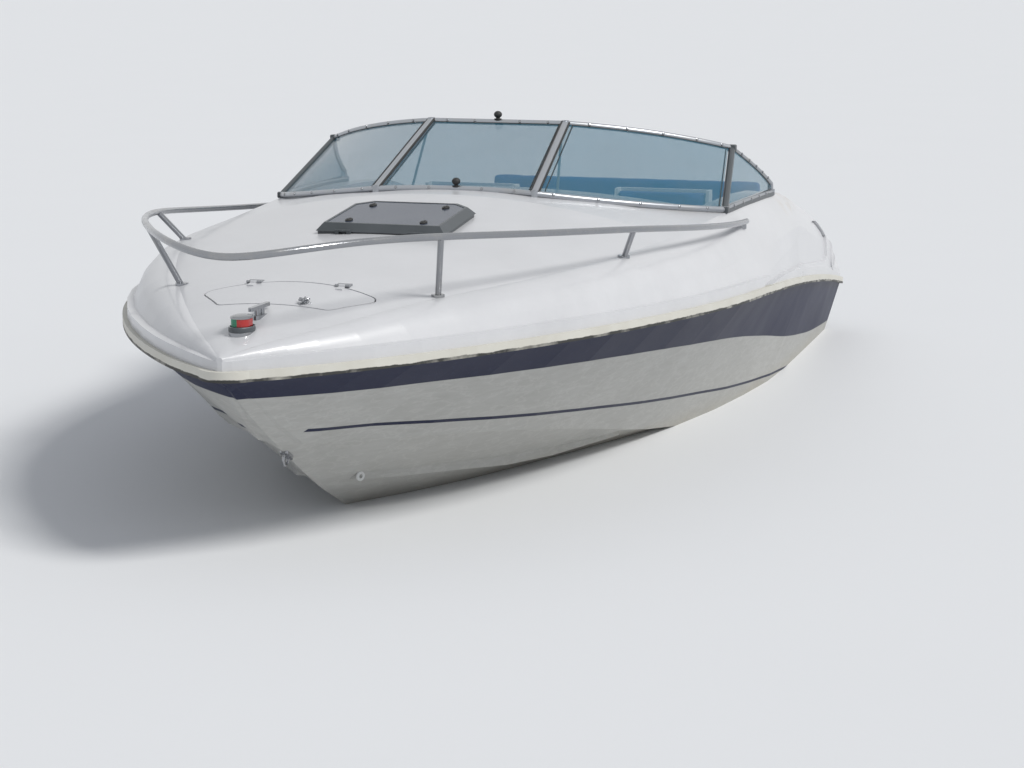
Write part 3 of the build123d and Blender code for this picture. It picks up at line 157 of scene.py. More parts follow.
# %% A finish
class Finish:
    """A material in the making, with its coordinates at hand."""

    def __init__(self, name):
        self.material = bpy.data.materials.new(name)
        self.material.use_nodes = True
        self.tree = self.material.node_tree
        self.shader = self.tree.nodes["Principled BSDF"]
        root = Wire(self.tree)
        self.place = root.node("ShaderNodeTexCoord", output=3)
        split = self.tree.nodes.new("ShaderNodeSeparateXYZ")
        self.tree.links.new(self.place.socket, split.inputs[0])
        self.x, self.y, self.z = [Wire(self.tree, socket) for socket in split.outputs]

    def noise(self, scale, detail=3.0, roughness=0.55, stretch=(1, 1, 1)):
        """A cloudy value around 0.5, with so many features a metre."""
        scaled = self.place.node("ShaderNodeMapping", {}, {"Vector": self.place, "Scale": stretch})
        inputs = {"Vector": scaled, "Scale": scale, "Detail": detail, "Roughness": roughness}
        return self.place.node("ShaderNodeTexNoise", {}, inputs)

    def cells(self, scale, feature="F1", stretch=(1, 1, 1)):
        """The distance to scattered points, so many to a metre."""
        scaled = self.place.node("ShaderNodeMapping", {}, {"Vector": self.place, "Scale": stretch})
        inputs = {"Vector": scaled, "Scale": scale}
        return self.place.node("ShaderNodeTexVoronoi", {"feature": feature}, inputs)

    def bump(self, height, distance, strength=1.0):
        inputs = {"Height": height, "Distance": distance, "Strength": strength}
        return self.place.node("ShaderNodeBump", {}, inputs)

    def set(self, **values):
        """Sockets of the shader, with spaces in their names written as underscores."""
        for key, value in values.items():
            slot = self.shader.inputs[key.replace("_", " ")]
            if isinstance(value, Wire):
                self.tree.links.new(value.socket, slot)
            elif isinstance(value, tuple):
                slot.default_value = (*value, 1.0)
            else:
                slot.default_value = value
        return self.material


finishes = {}

# %% [markdown]
# Gelcoat is a polyester skin, glossy when new. On this hull it carries the marks of use and weather:
# scratches, and grime along the waterline. The white of its sides is darkened to grey as painted shade, for
# sides that face away
# from the sun, and pale wavy lines over it are painted reflections of light off the water. The topsides are
# painted:
# a navy band hangs under the rub rail, and a thin pinstripe runs below it. Both edges are curves of height
# against length, so a Float Curve gives the height at each x.

# %% Hull gelcoat
HULL_AFT, HULL_LONG = -2.6, 6.2


def height_curve(finish, points):
    """A height in metres for each place along the boat, from (x, z) points."""
    along = (finish.x - HULL_AFT) / HULL_LONG
    places = [((x - HULL_AFT) / HULL_LONG, z) for x, z in points]
    return finish.place.node("ShaderNodeFloatCurve", {"points": places}, {"Value": along})


BAND_EDGE = [
    (-2.6, 0.048), (-2.1, 0.080), (-1.765, 0.108), (-1.3, 0.162), (-0.87, 0.218), (-0.2, 0.322),
    (0.496, 0.418), (1.1, 0.482), (1.7, 0.533), (2.208, 0.562), (2.7, 0.577), (3.5, 0.588),
]
PINSTRIPE = [
    (-2.6, -0.12), (-1.076, 0.012), (-0.795, 0.034), (-0.082, 0.095), (0.515, 0.162), (1.24, 0.246),
    (1.568, 0.286), (2.162, 0.352), (2.639, 0.400), (3.003, 0.426), (3.5, 0.46),
]
PINSTRIPE_FRONT = 3.003

hull_finish = Finish("hull_gelcoat")
clouds = hull_finish.noise(2.2, 5.0, 0.6)
specks = hull_finish.noise(60.0, 4.0, 0.7)
warp = hull_finish.noise(7.0, 4.0, 0.6, stretch=(1.0, 1.0, 2.5))
scratches = hull_finish.noise(26.0, 6.0, 0.75, stretch=(0.35, 0.35, 2.2))
# Thin pale wavy lines: painted reflections of light thrown up off the water, not marks in the gelcoat.
painted_water_glints = 1 - (warp - 0.5).size().above(0.010, 0.05)
# The side's grey is painted shade: the white gelcoat darkened for a side that faces away from the sun.
side = mix(clouds.above(0.5, 0.6), (0.41, 0.41, 0.39), (0.50, 0.50, 0.48))
side = mix((scratches - 0.42).clamped() * 1.6, side, (0.35, 0.345, 0.32))
side = mix(painted_water_glints * 0.30, side, (0.64, 0.64, 0.61))
band = hull_finish.z.above(height_curve(hull_finish, BAND_EDGE), 0.002)
line = (hull_finish.z - height_curve(hull_finish, PINSTRIPE)).size()
line = (1 - line.above(0.0065, 0.0015)) * (1 - hull_finish.x.above(PINSTRIPE_FRONT, 0.002))
painted = mix(specks.above(0.62, 0.1), (0.006, 0.010, 0.040), (0.012, 0.018, 0.052))
paint_mask = band.maths("MAXIMUM", band, line)
grime = (1 - hull_finish.z.above(0.02, 0.14)) * clouds.above(0.42, 0.35) * 0.6
weathered = mix(grime, side, (0.36, 0.31, 0.22))
finishes["gelcoat_white"] = hull_finish.set(
    Base_Color=mix(paint_mask, weathered, painted),
    Roughness=0.36 + 0.2 * clouds,
    Specular_IOR_Level=0.22,
    Normal=hull_finish.bump(hull_finish.noise(14.0, 2.0, 0.5), 0.001, 0.2),
)
print("hull gelcoat:", len(hull_finish.tree.nodes), "nodes")

# %% [markdown]
# The deck is the same white, in full sun: it yellows a touch along its corners and collects grey dust.

# %% Deck gelcoat
deck_finish = Finish("deck_gelcoat")
dust = deck_finish.noise(3.0, 6.0, 0.65)
grain = deck_finish.noise(420.0, 2.0, 0.6)
clean = mix(dust.above(0.5, 0.4), (0.61, 0.615, 0.63), (0.67, 0.675, 0.69))
spots = deck_finish.cells(15.0).above(0.035, 0.02)
STAIN_X, STAIN_FOOT = -0.95, 0.86
stain = 1 - (deck_finish.x - STAIN_X).size().above(0.28, 0.25)
stain = stain * deck_finish.noise(9.0, 6.0, 0.7).above(0.52, 0.2)
stain = stain * deck_finish.z.above(STAIN_FOOT, 0.05)
clean = mix(stain * 0.55, clean, (0.46, 0.36, 0.22))
finishes["deck_white"] = deck_finish.set(
    Base_Color=mix((1 - spots) * 0.3, clean, (0.52, 0.49, 0.43)),
    Roughness=0.22 + 0.2 * dust,
    Coat_Weight=0.25,
    Coat_Roughness=0.1,
    Normal=deck_finish.bump(grain, 0.0004, 0.35),
)
print("deck gelcoat:", len(deck_finish.tree.nodes), "nodes")

# %% [markdown]
# Plain mouldings and paint differ in colour, gloss and grain alone, so one recipe makes them all.


# %% Moulded plastics and paint
def moulded(name, colour, shade, roughness, grain=250.0, depth=0.0003):
    """A moulded or painted surface with a fine grain and a slow change of tone."""
    finish = Finish(name)
    tone = finish.noise(5.0, 4.0, 0.6)
    fine = finish.noise(grain, 2.0, 0.6)
    return finish.set(
        Base_Color=mix(tone.above(0.5, 0.6), shade, colour),
        Roughness=roughness - 0.08 + 0.16 * tone,
        Normal=finish.bump(fine, depth, 0.5),
    )


finishes["liner_white"] = moulded("liner_moulding", (0.80, 0.81, 0.80), (0.72, 0.73, 0.72), 0.45)
finishes["wood_core"] = moulded("painted_plywood", (0.68, 0.64, 0.54), (0.56, 0.52, 0.43), 0.7, 90.0, 0.001)
finishes["engine_grey"] = moulded("engine_paint", (0.10, 0.10, 0.11), (0.05, 0.05, 0.055), 0.5)
finishes["drive_grey"] = moulded("drive_paint", (0.045, 0.046, 0.05), (0.02, 0.02, 0.022), 0.42)
finishes["propeller_metal"] = moulded("propeller_paint", (0.05, 0.05, 0.055), (0.03, 0.03, 0.03), 0.35)
finishes["wheel_white"] = moulded("wheel_grip", (0.72, 0.73, 0.72), (0.6, 0.61, 0.6), 0.4, 500.0, 0.0005)
finishes["grey_frame"] = moulded("hatch_coat", (0.085, 0.095, 0.105), (0.05, 0.06, 0.065), 0.38, 600.0)
print("finishes so far:", len(finishes))


# %% [markdown]
# Metal shows little but what it mirrors. Its age is in dull spots, and its polish or brushing in a fine bump,
# which is stretched along the bar where the metal was drawn.

# %% Metals
def metal(name, colour, roughness, brushed=(1, 1, 1), depth=0.0001):
    """Bare metal with fine marks and a few dull spots."""
    finish = Finish(name)
    marks = finish.noise(180.0, 3.0, 0.7, stretch=brushed)
    spots = finish.noise(9.0, 5.0, 0.7)
    return finish.set(
        Base_Color=mix(spots.above(0.6, 0.2) * 0.5, colour, (0.45, 0.44, 0.42)),
        Metallic=1.0,
        Roughness=roughness + 0.12 * spots.above(0.45, 0.4),
        Normal=finish.bump(marks, depth, 0.4),
    )


# The stainless is given a dark colour as a painted reflection: it stands for the dark surroundings the real
# rail mirrors.
finishes["stainless"] = metal("polished_stainless", (0.33, 0.34, 0.36), 0.12)
finishes["aluminium_trim"] = metal("anodised_aluminium", (0.42, 0.44, 0.47), 0.28, (0.2, 0.2, 4.0))

# %% [markdown]
# The rub rail is a cream vinyl extrusion that takes the knocks, so its lower edge is scuffed black. The rail
# follows the sheer, a known curve of height against length, and the scuffs follow the same curve.

# %% Rub rail
rail_finish = Finish("rail_vinyl")
STEM_X, SHEER_LONG = 3.467, 6.067
share = (STEM_X - rail_finish.x) / SHEER_LONG
sheer = 0.669 + 0.143 * share - 0.553 * share * share
over = rail_finish.z - sheer
ragged = rail_finish.noise(26.0, 5.0, 0.7, stretch=(0.35, 0.35, 1.0))
scuff = 1 - over.above(0.002 + 0.016 * ragged, 0.002)
soil = rail_finish.noise(7.0, 4.0, 0.6)
cream = mix(soil.above(0.5, 0.5), (0.60, 0.58, 0.51), (0.68, 0.67, 0.61))
finishes["rail_vinyl"] = rail_finish.set(
    Base_Color=mix(scuff * (0.35 + 0.65 * soil.above(0.4, 0.2)), cream, (0.035, 0.035, 0.032)),
    Roughness=0.45 + 0.2 * soil,
    Normal=rail_finish.bump(ragged, 0.0008, 0.4),
)
print("rail vinyl:", len(rail_finish.tree.nodes), "nodes")


# %% [markdown]
# Tinted safety glass lets the cabin show, in blue-green. A glass shader that bends light would need many
# bounces to light what is behind it, so the pane is a glossy skin that lets most light straight through.
# Alpha is how much of the skin's own colour shows.

# %% Glass and lenses
def tinted(name, colour, cover, roughness=0.03, gloss=0.5):
    """A pane whose own colour covers part of what is behind it."""
    finish = Finish(name)
    film = finish.noise(4.0, 5.0, 0.65)
    return finish.set(
        Base_Color=mix(film.above(0.5, 0.6), colour, tuple(0.8 * c + 0.06 for c in colour)),
        Roughness=roughness + 0.05 * film,
        Alpha=cover + 0.08 * film,
        Specular_IOR_Level=gloss,
    )


finishes["glass_blue"] = tinted("tinted_glass", (0.015, 0.18, 0.28), 0.42)
finishes["smoked_lens"] = tinted("smoked_acrylic", (0.055, 0.070, 0.105), 0.95, 0.18, gloss=0.22)
finishes["red_lens"] = tinted("red_lens", (0.50, 0.015, 0.012), 0.9)
finishes["green_lens"] = tinted("green_lens", (0.01, 0.26, 0.13), 0.9)


# %% [markdown]
# Marine vinyl has a pebbled leather grain: close cells with soft valleys between them.

# %% Upholstery vinyl
def upholstery(name, colour, shade):
    finish = Finish(name)
    pebbles = finish.cells(420.0)
    wear = finish.noise(6.0, 5.0, 0.6)
    return finish.set(
        Base_Color=mix(wear.above(0.5, 0.6), shade, colour),
        Roughness=0.38 + 0.2 * wear,
        Normal=finish.bump(pebbles, 0.0006, 0.5),
    )


finishes["blue_vinyl"] = upholstery("blue_vinyl", (0.025, 0.085, 0.30), (0.018, 0.062, 0.22))
finishes["white_vinyl"] = upholstery("white_vinyl", (0.78, 0.78, 0.76), (0.70, 0.70, 0.67))
finishes["black_rubber"] = moulded("black_rubber", (0.03, 0.03, 0.03), (0.02, 0.02, 0.02), 0.6)

# %% [markdown]
# The record names one material slot for each CAD node, and the finish of that name goes onto it. The meshes
# themselves stay as they are.

# %% Finishes onto the frame
for part in frame["record"]["subparts"]:
    shell = nodes[part["node"]]
    shell.data.materials.clear()
    shell.data.materials.append(finishes[part["material_slot"]])
print("finishes:", ", ".join(sorted(finishes)))

# %% [markdown]
# Every small piece below is made the same way: a primitive at its size and place, shaped, its place applied
# so that its object ends at the origin, then given a finish and a body to ride on. These helpers hold those
# steps. An operator acts on all that is selected, so each one deselects first.


def select(*pieces):
    """Only these pieces selected, the first one active."""
    bpy.ops.object.select_all(action="DESELECT")
    for piece in pieces:
        piece.select_set(True)
    bpy.context.view_layer.objects.active = pieces[0]


def start(maker, name, **values):
    """A new primitive, alone in the selection."""
    bpy.ops.object.select_all(action="DESELECT")
    maker(**values)
    bpy.context.object.name = name
    return bpy.context.object


def settle(piece):
    """The piece's place, turn and scale moved into its mesh."""
    select(piece)
    bpy.ops.object.transform_apply(location=True, rotation=True, scale=True)
    return piece


def modify(piece, kind, **settings):
    """A modifier added and applied."""
    select(piece)
    modifier = piece.modifiers.new(kind.lower(), kind)
    for key, value in settings.items():
        setattr(modifier, key, value)
    bpy.ops.object.modifier_apply(modifier=modifier.name)
    return piece


def join(name, pieces):
    """Several pieces made one object."""
    select(*pieces)
    if len(pieces) > 1:
        bpy.ops.object.join()
    pieces[0].name = name
    return pieces[0]


def dress(piece, finish, body="boat", angle=35):
    """The last steps of every piece: settled, smoothed, finished, and riding on its body."""
    settle(piece)
    bpy.ops.object.shade_smooth_by_angle(angle=radians(angle))
    piece.data.materials.clear()
    piece.data.materials.append(finishes[finish])
    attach(piece, body)
    return piece


def block(name, low, high, edge=0.0):
    """A box between two corners with its edges rounded."""
    middle = [(a + b) / 2 for a, b in zip(low, high)]
    piece = start(bpy.ops.mesh.primitive_cube_add, name, size=1, location=middle)
    piece.scale = [b - a for a, b in zip(low, high)]
    settle(piece)
    if edge:
        modify(piece, "BEVEL", width=edge, segments=3)
    return piece


def tube(name, points, radius, closed=False, sides=4):
    """A round bar along points, capped at its ends."""
    bar = start(bpy.ops.curve.primitive_bezier_curve_add, name)
    bar.location = (0, 0, 0)
    curve = bar.data
    curve.splines.clear()
    spline = curve.splines.new("POLY")
    spline.points.add(len(points) - 1)
    for knot, place in zip(spline.points, points):
        knot.co = (*place, 1.0)
    spline.use_cyclic_u = closed
    curve.dimensions = "3D"
    curve.bevel_depth = radius
    curve.bevel_resolution = sides
    curve.use_fill_caps = True
    select(bar)
    bpy.ops.object.convert(target="MESH")
    return bpy.context.object


def aim(place, outward, turn=0.0):
    """A matrix at a place whose z axis points outward."""
    lean = Vector(outward).to_track_quat("Z", "Y").to_matrix().to_4x4()
    return Matrix.Translation(place) @ lean @ Matrix.Rotation(turn, 4, "Z")


def copies(name, model, matrices):
    """The model copied to each matrix, each with its own mesh, and joined. The model itself goes."""
    made = []
    for matrix in matrices:
        twin = model.copy()
        twin.data = model.data.copy()
        bpy.context.scene.collection.objects.link(twin)
        twin.matrix_world = matrix
        made.append(twin)
    bpy.data.objects.remove(model)
    for twin in made:
        settle(twin)
    return join(name, made)


def hit(node, origin, direction):
    """Where a ray from a place meets a CAD node, with the surface's direction there."""
    shell = nodes[node]
    back = shell.matrix_world.inverted()
    start_at, toward = back @ Vector(origin), back.to_3x3() @ Vector(direction)
    found, place, normal, _ = shell.ray_cast(start_at, toward)
    if not found:
        raise ValueError(f"no {node} along the ray from {tuple(origin)}")
    return shell.matrix_world @ place, (shell.matrix_world.to_3x3() @ normal).normalized()


def deck_top(x, y):
    """The deck's top at a place, and which way it faces."""
    return hit("deck", (x, y, 2.0), (0, 0, -1))


def arc(first, middle, last, count=24):
    """Points on the circle through three places."""
    a, b, c = Vector(first), Vector(middle), Vector(last)
    ab, ac = b - a, c - a
    normal = ab.cross(ac)
    to_centre = normal.cross(ab) * ac.length_squared + ac.cross(normal) * ab.length_squared
    centre = a + to_centre / (2 * normal.length_squared)
    whole = (a - centre).angle(b - centre) + (b - centre).angle(c - centre)
    turn_axis = normal.normalized()
    turns = [Matrix.Rotation(whole * i / count, 3, turn_axis) for i in range(count + 1)]
    return [centre + turn @ (a - centre) for turn in turns]


def mirrored(points):
    return [Vector((p[0], -p[1], p[2])) for p in points]


# A port line as it is, and the same line on the starboard side
BOTH_SIDES = (list, mirrored)
print("helpers ready")

# %% [markdown]
# The windscreen's bars are CAD. Along them run what a glazier adds: a black gasket round every pane, small
# snap studs for a cover, a dark clamp where the corner posts meet the rails, a grey base strip that sweeps
# aft, and two white struts inside that brace the frame to the dash.

# %% Windscreen lines
BAR = 0.013
screen_base = {
    "post": (0.968, 0.356), "bow": (0.705, 0.748), "corner": (0.340, 1.052),
    "side": (-0.135, 1.080), "end": (-0.610, 1.090),
}
screen_top = {
    "post": (0.330, 0.317, 1.326), "bow": (0.118, 0.680, 1.277), "corner": (-0.170, 0.979, 1.197),
    "side": (-0.378, 1.048, 1.098), "end": (-0.593, 1.090, 1.000),
}
base_at = {key: deck_top(x, y)[0] + Vector((0, 0, BAR)) for key, (x, y) in screen_base.items()}
top_at = {key: Vector(place) for key, place in screen_top.items()}
front_base = arc(base_at["post"], base_at["bow"], base_at["corner"])
front_top = arc(top_at["post"], top_at["bow"], top_at["corner"])
side_base = arc(base_at["corner"], base_at["side"], base_at["end"])
side_top = arc(top_at["corner"], top_at["side"], top_at["end"])
print("windscreen base", [round(v, 3) for v in front_base[0]], "to", [round(v, 3) for v in side_base[-1]])


# %% [markdown]
# A gasket is a thin rubber lip that runs round its pane. Its points are read a little inside the foot and the
# head of each opening, along the line from one to the other, so it follows the curve of both.

# %% Gaskets
def gasket(low, high, near, far, margin):
    """A pane's black edging: just inside its bars and posts, as a closed loop."""
    def inner(line, other, share, gap):
        here = line[round(share * (len(line) - 1))]
        there = other[round(share * (len(other) - 1))]
        return here + (there - here).normalized() * gap
    shares = [near + (far - near) * i / 20 for i in range(21)]
    bottom = [inner(low, high, share, margin) for share in shares]
    top = [inner(high, low, share, margin) for share in shares]
    return tube("gasket", bottom + top[::-1], 0.0045, closed=True, sides=2)


loops = []
for flip in BOTH_SIDES:
    loops.append(gasket(flip(front_base), flip(front_top), 0.03, 0.97, BAR + 0.004))
    loops.append(gasket(flip(side_base), flip(side_top), 0.04, 0.92, BAR + 0.003))
post, head = base_at["post"], top_at["post"]
crown = (deck_top(post.x, 0)[0].z - deck_top(post.x, post.y)[0].z) / 2
centre_foot = Vector((post.x + (head.x - post.x) * crown / (head.z - post.z), 0, post.z + crown))
centre_low = arc(post, centre_foot, (post.x, -post.y, post.z))
centre_high = [front_top[0].lerp(mirrored(front_top)[0], i / 24) for i in range(25)]
loops.append(gasket(centre_low, centre_high, 0.04, 0.96, BAR + 0.004))
gaskets = dress(join("window_gaskets", loops), "black_rubber")
print("gaskets:", len(gaskets.data.polygons), "faces")

# %% [markdown]
# A snap stud is a low chrome button. One is made from a cylinder with its rim rounded, then copied along the
# top rails and the feet. Each line has 25 points, and the short tuples say which of them carry a stud.


# %% Snap studs
def outward_of(line, index):
    """Away from the boat's middle and a little up, square to the line."""
    along = (line[min(index + 1, len(line) - 1)] - line[max(index - 1, 0)]).normalized()
    away = Vector((0.75, 0.0 if abs(line[index].y) < 0.05 else line[index].y, 0.35))
    return (away - along * away.dot(along)).normalized()


def stud_places(line, picks, reach):
    return [aim(line[i] + outward_of(line, i) * reach, outward_of(line, i)) for i in picks]


stud = start(bpy.ops.mesh.primitive_cylinder_add, "stud", vertices=14, radius=0.007, depth=0.007)
modify(stud, "BEVEL", width=0.0025, segments=2, limit_method="ANGLE")
stud_spots = []
for flip in BOTH_SIDES:
    stud_spots += stud_places(flip(front_top), (3, 8, 13, 18, 22), BAR)
    stud_spots += stud_places(flip(front_base), (2, 7, 12, 17, 21), BAR)
    stud_spots += stud_places(flip(side_top), (4, 8, 12, 16, 20), 0.010)
    stud_spots += stud_places(flip(side_base), (3, 7, 11, 15, 19), BAR)
stud_spots += stud_places(centre_high, (3, 8, 16, 21), BAR)
stud_spots += stud_places(centre_low, (3, 8, 16, 21), BAR)
dress(copies("snap_studs", stud, stud_spots), "stainless")
print("snap studs:", len(stud_spots))

# %% [markdown]
# The two posts beside the centre pane are flat bars with a black lip along each edge. Each corner post wears
# a round cover between two clamps, and a thin strut runs from the head of each centre post to the dash.

# %% Post covers, clamps and struts
post_pieces = []
for side in (1, -1):
    foot = base_at["post"].copy()
    head = top_at["post"].copy()
    foot.y, head.y = side * foot.y, side * head.y
    rise = (head - foot).normalized()
    face = Vector((0.62, side * 0.18, 0.76))
    face = (face - rise * face.dot(rise)).normalized()
    for across in (-1, 1):
        edge = rise.cross(face) * (across * 0.0165) + face * 0.006
        post_pieces.append(tube("post_edge", [foot + edge, head + edge], 0.0055, sides=2))
dress(join("post_edges", post_pieces), "black_rubber")

clamp_pieces = []
for side in (1, -1):
    for place, half in ((top_at["corner"], 0.020), (base_at["corner"], 0.018)):
        middle = Vector((place.x, side * place.y, place.z))
        reach = Vector((half, half, half * 0.8))
        clamp_pieces.append(block("clamp", middle - reach, middle + reach, 0.006))
    foot = Vector((base_at["corner"].x, side * base_at["corner"].y, base_at["corner"].z))
    head = Vector((top_at["corner"].x, side * top_at["corner"].y, top_at["corner"].z))
    clamp_pieces.append(tube("corner_cover", [foot, head], 0.0155, sides=3))
dress(join("corner_clamps", clamp_pieces), "grey_frame")

strut_lines = [
    ((0.325, 0.300, 1.318), (0.335, 0.283, 1.030)),
    ((0.328, -0.328, 1.318), (0.345, -0.405, 1.022)),
]
struts = [tube("strut", ends, 0.006, sides=3) for ends in strut_lines]
dress(join("frame_struts", struts), "wheel_white")
print("posts, clamps and struts dressed")

# %% [markdown]
# Along the foot of each aft side pane a broad grey strip sweeps down to the coaming. Low on the bow sits the
# white flange of a drain, a turned disc with a dark bore.

# %% Base strips and bow drain
strips = []
for flip in BOTH_SIDES:
    strip = tube("strip", [place - Vector((0, 0, 0.006)) for place in flip(side_base)], 0.0155, sides=4)
    strips.append(strip)
dress(join("base_strips", strips), "grey_frame", angle=60)

drain_place, drain_normal = hit("hull", (2.495, 2.0, 0.157), (0, -1, 0))
drain = start(bpy.ops.mesh.primitive_cylinder_add, "bow_drain", vertices=32, radius=0.019, depth=0.009)
modify(drain, "BEVEL", width=0.0035, segments=3, limit_method="ANGLE")
bore = start(bpy.ops.mesh.primitive_cylinder_add, "bore", vertices=24, radius=0.008, depth=0.03)
cut = drain.modifiers.new("bore", "BOOLEAN")
cut.object = bore
cut.solver = "EXACT"
select(drain)
bpy.ops.object.modifier_apply(modifier=cut.name)
bpy.data.objects.remove(bore)
drain.matrix_world = aim(drain_place + drain_normal * 0.003, drain_normal)
dress(drain, "wheel_white")
print("bow drain at", [round(v, 3) for v in drain_place])

# %% [markdown]
# Two black stop knobs stand on the centreline of the opening centre pane, one on the top rail and one at
# its base: each is a ball on a short stem with a flange.

# %% Stop knobs
knob_parts = []
for x, z in ((0.330, 1.326), (centre_foot.x, centre_foot.z - 0.002)):
    knob_parts.append(start(
        bpy.ops.mesh.primitive_cylinder_add, "stem", vertices=20, radius=0.009, depth=0.022,
        location=(x, 0, z + 0.018),
    ))
    flange = start(
        bpy.ops.mesh.primitive_cylinder_add, "flange", vertices=24, radius=0.017, depth=0.006,
        location=(x, 0, z + 0.013),
    )
    knob_parts.append(modify(flange, "BEVEL", width=0.002, segments=2, limit_method="ANGLE"))
    ball = start(
        bpy.ops.mesh.primitive_uv_sphere_add, "ball", segments=24, ring_count=14, radius=0.0185,
        location=(x, 0, z + 0.034),
    )
    ball.scale = (1, 1, 0.86)
    knob_parts.append(ball)
for piece in knob_parts:
    settle(piece)
dress(join("stop_knobs", knob_parts), "black_rubber")
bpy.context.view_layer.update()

# %% [markdown]
# The foredeck hatch carries four dark oval dogs on its lens, and its hinge blocks are CAD. A dog is a
# bevelled oval button with a raised bar across it.

# %% Hatch dogs
lens_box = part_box("hatch_lens")


def dog(name):
    body = start(bpy.ops.mesh.primitive_cylinder_add, name, vertices=28, radius=0.023, depth=0.007)
    body.scale = (1.0, 0.62, 1.0)
    settle(body)
    modify(body, "BEVEL", width=0.0025, segments=2, limit_method="ANGLE")
    bar = block("bar", (-0.016, -0.004, 0.002), (0.016, 0.004, 0.0055), 0.0012)
    return join(name, [body, bar])


dog_spots = []
for x in (lens_box[1][0] - 0.045, lens_box[0][0] + 0.075):
    for y in (0.155, -0.155):
        place, normal = hit("hatch_lens", (x, y, 2.0), (0, 0, -1))
        dog_spots.append(aim(place + normal * 0.0025, normal, pi / 2))
dress(copies("hatch_dogs", dog("dog"), dog_spots), "black_rubber", "deck_hatch")
print("hatch dogs:", len(dog_spots))

# %% [markdown]
# The anchor locker's lid has a chrome turn latch at its forward edge: a small plate with a star grip to turn
# it by.

# %% Anchor locker latch
latch_place, latch_normal = hit("locker_lid", (2.975, 0.105, 2.0), (0, 0, -1))
plate = block("plate", (-0.021, -0.014, 0.0), (0.021, 0.014, 0.0035), 0.0012)
barrel = start(
    bpy.ops.mesh.primitive_cylinder_add, "barrel", vertices=20, radius=0.009, depth=0.012,
    location=(0, 0, 0.008),
)
grips = [plate, settle(barrel)]
for turn in range(3):
    grip = block("grip", (-0.021, -0.0035, 0.012), (0.021, 0.0035, 0.018), 0.0015)
    grip.rotation_euler = (0, 0, turn * pi / 3)
    grips.append(settle(grip))
latch = join("locker_latch", grips)
latch.matrix_world = aim(latch_place, latch_normal, 0.4)
dress(latch, "stainless", "anchor_lid")
print("latch at", [round(v, 3) for v in latch_place])

# %% [markdown]
# The bow light stands on a grey rubber pad and wears a low chrome cap. Both fit round the casting, which is
# CAD.

# %% Bow light base
light_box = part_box("nav_light")
light_middle = Vector([(a + b) / 2 for a, b in zip(*light_box)])
pad_base = start(
    bpy.ops.mesh.primitive_cylinder_add, "nav_base", vertices=40, radius=0.052, depth=0.020,
    location=(light_middle.x, 0, light_box[1][2] - 0.043),
)
pad_base.scale = (1.08, 0.84, 1.0)
settle(pad_base)
modify(pad_base, "BEVEL", width=0.005, segments=3, limit_method="ANGLE")
dress(pad_base, "grey_frame")
cap = start(
    bpy.ops.mesh.primitive_uv_sphere_add, "nav_cap", segments=32, ring_count=16, radius=0.042,
    location=(light_middle.x, 0, light_box[1][2] - 0.001),
)
cap.scale = (1.06, 0.80, 0.16)
dress(cap, "stainless")
print("bow light dressed")


# %% [markdown]
# Upholstery is foam under stretched vinyl: it crowns between its seams and pulls in at its corners. Each
# plain CAD solid is copied, remeshed evenly, shrunk a little and blown up as cloth, held where it rests and
# along its sewn channels. How far a point may move is capped, so the pad stays about as large as its solid.

# %% Cushion maker
WELT = 0.0042
PRESSURE, FILL = 4.0, 0.7


def stuff(pad, body, voxel, shrink, cap, held):
    """A plain closed form blown up as cloth. held(place) says where the vinyl is sewn or rests."""
    modify(pad, "REMESH", mode="VOXEL", voxel_size=voxel)
    modify(pad, "DISPLACE", strength=-shrink, mid_level=0.0)
    modify(pad, "SMOOTH", factor=0.5, iterations=4)
    rest = [v.co.copy() for v in pad.data.vertices]
    pins = pad.vertex_groups.new(name="held")
    pins.add([v.index for v in pad.data.vertices if held(v.co)], 1.0, "REPLACE")
    select(pad)
    cloth = pad.modifiers.new("cloth", "CLOTH")
    cloth.settings.use_pressure = True
    cloth.settings.uniform_pressure_force = PRESSURE
    cloth.settings.effector_weights.gravity = 0
    cloth.settings.vertex_group_mass = "held"
    cloth.settings.quality = 4
    for step in range(1, 21):
        bpy.context.scene.frame_set(step)
    blown = pad.evaluated_get(bpy.context.evaluated_depsgraph_get()).to_mesh()
    grown = [v.co.copy() for v in blown.vertices]
    pad.modifiers.remove(cloth)
    for vertex, before, after in zip(pad.data.vertices, rest, grown):
        move = after - before
        if move.length > cap:
            move = move.normalized() * cap
        vertex.co = before + move
    bpy.context.scene.frame_set(1)
    modify(pad, "SMOOTH", factor=0.5, iterations=2)
    modify(pad, "SUBSURF", levels=1, render_levels=1)
    dress(pad, "blue_vinyl", body, 60)


def cushion(node, *settings):
    """A copy of a CAD solid, stuffed, which then stands in for it."""
    source = nodes[node]
    select(source)
    bpy.ops.object.duplicate()
    pad = bpy.context.object
    pad.name = node + "_pad"
    pad.parent = None
    pad.matrix_world = source.matrix_world
    stuff(settle(pad), *settings)
    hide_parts(node)


def near(value, lines, width):
    return any(abs(value - line) < width for line in lines)


def rounded_loop(low, high, height, corner, steps=6):
    """A level rounded rectangle as points."""
    right_x, left_x, far_y, near_y = high[0] - corner, low[0] + corner, high[1] - corner, low[1] + corner
    corners = [(right_x, far_y), (left_x, far_y), (left_x, near_y), (right_x, near_y)]
    places = []
    for quarter, (x, y) in enumerate(corners):
        for step in range(steps + 1):
            angle = pi / 2 * (quarter + step / steps)
            places.append((x + corner * cos(angle), y + corner * sin(angle), height))
    return places


# %% [markdown]
# The sun pad on the engine cover has three panels and a white welt round its lower edge.

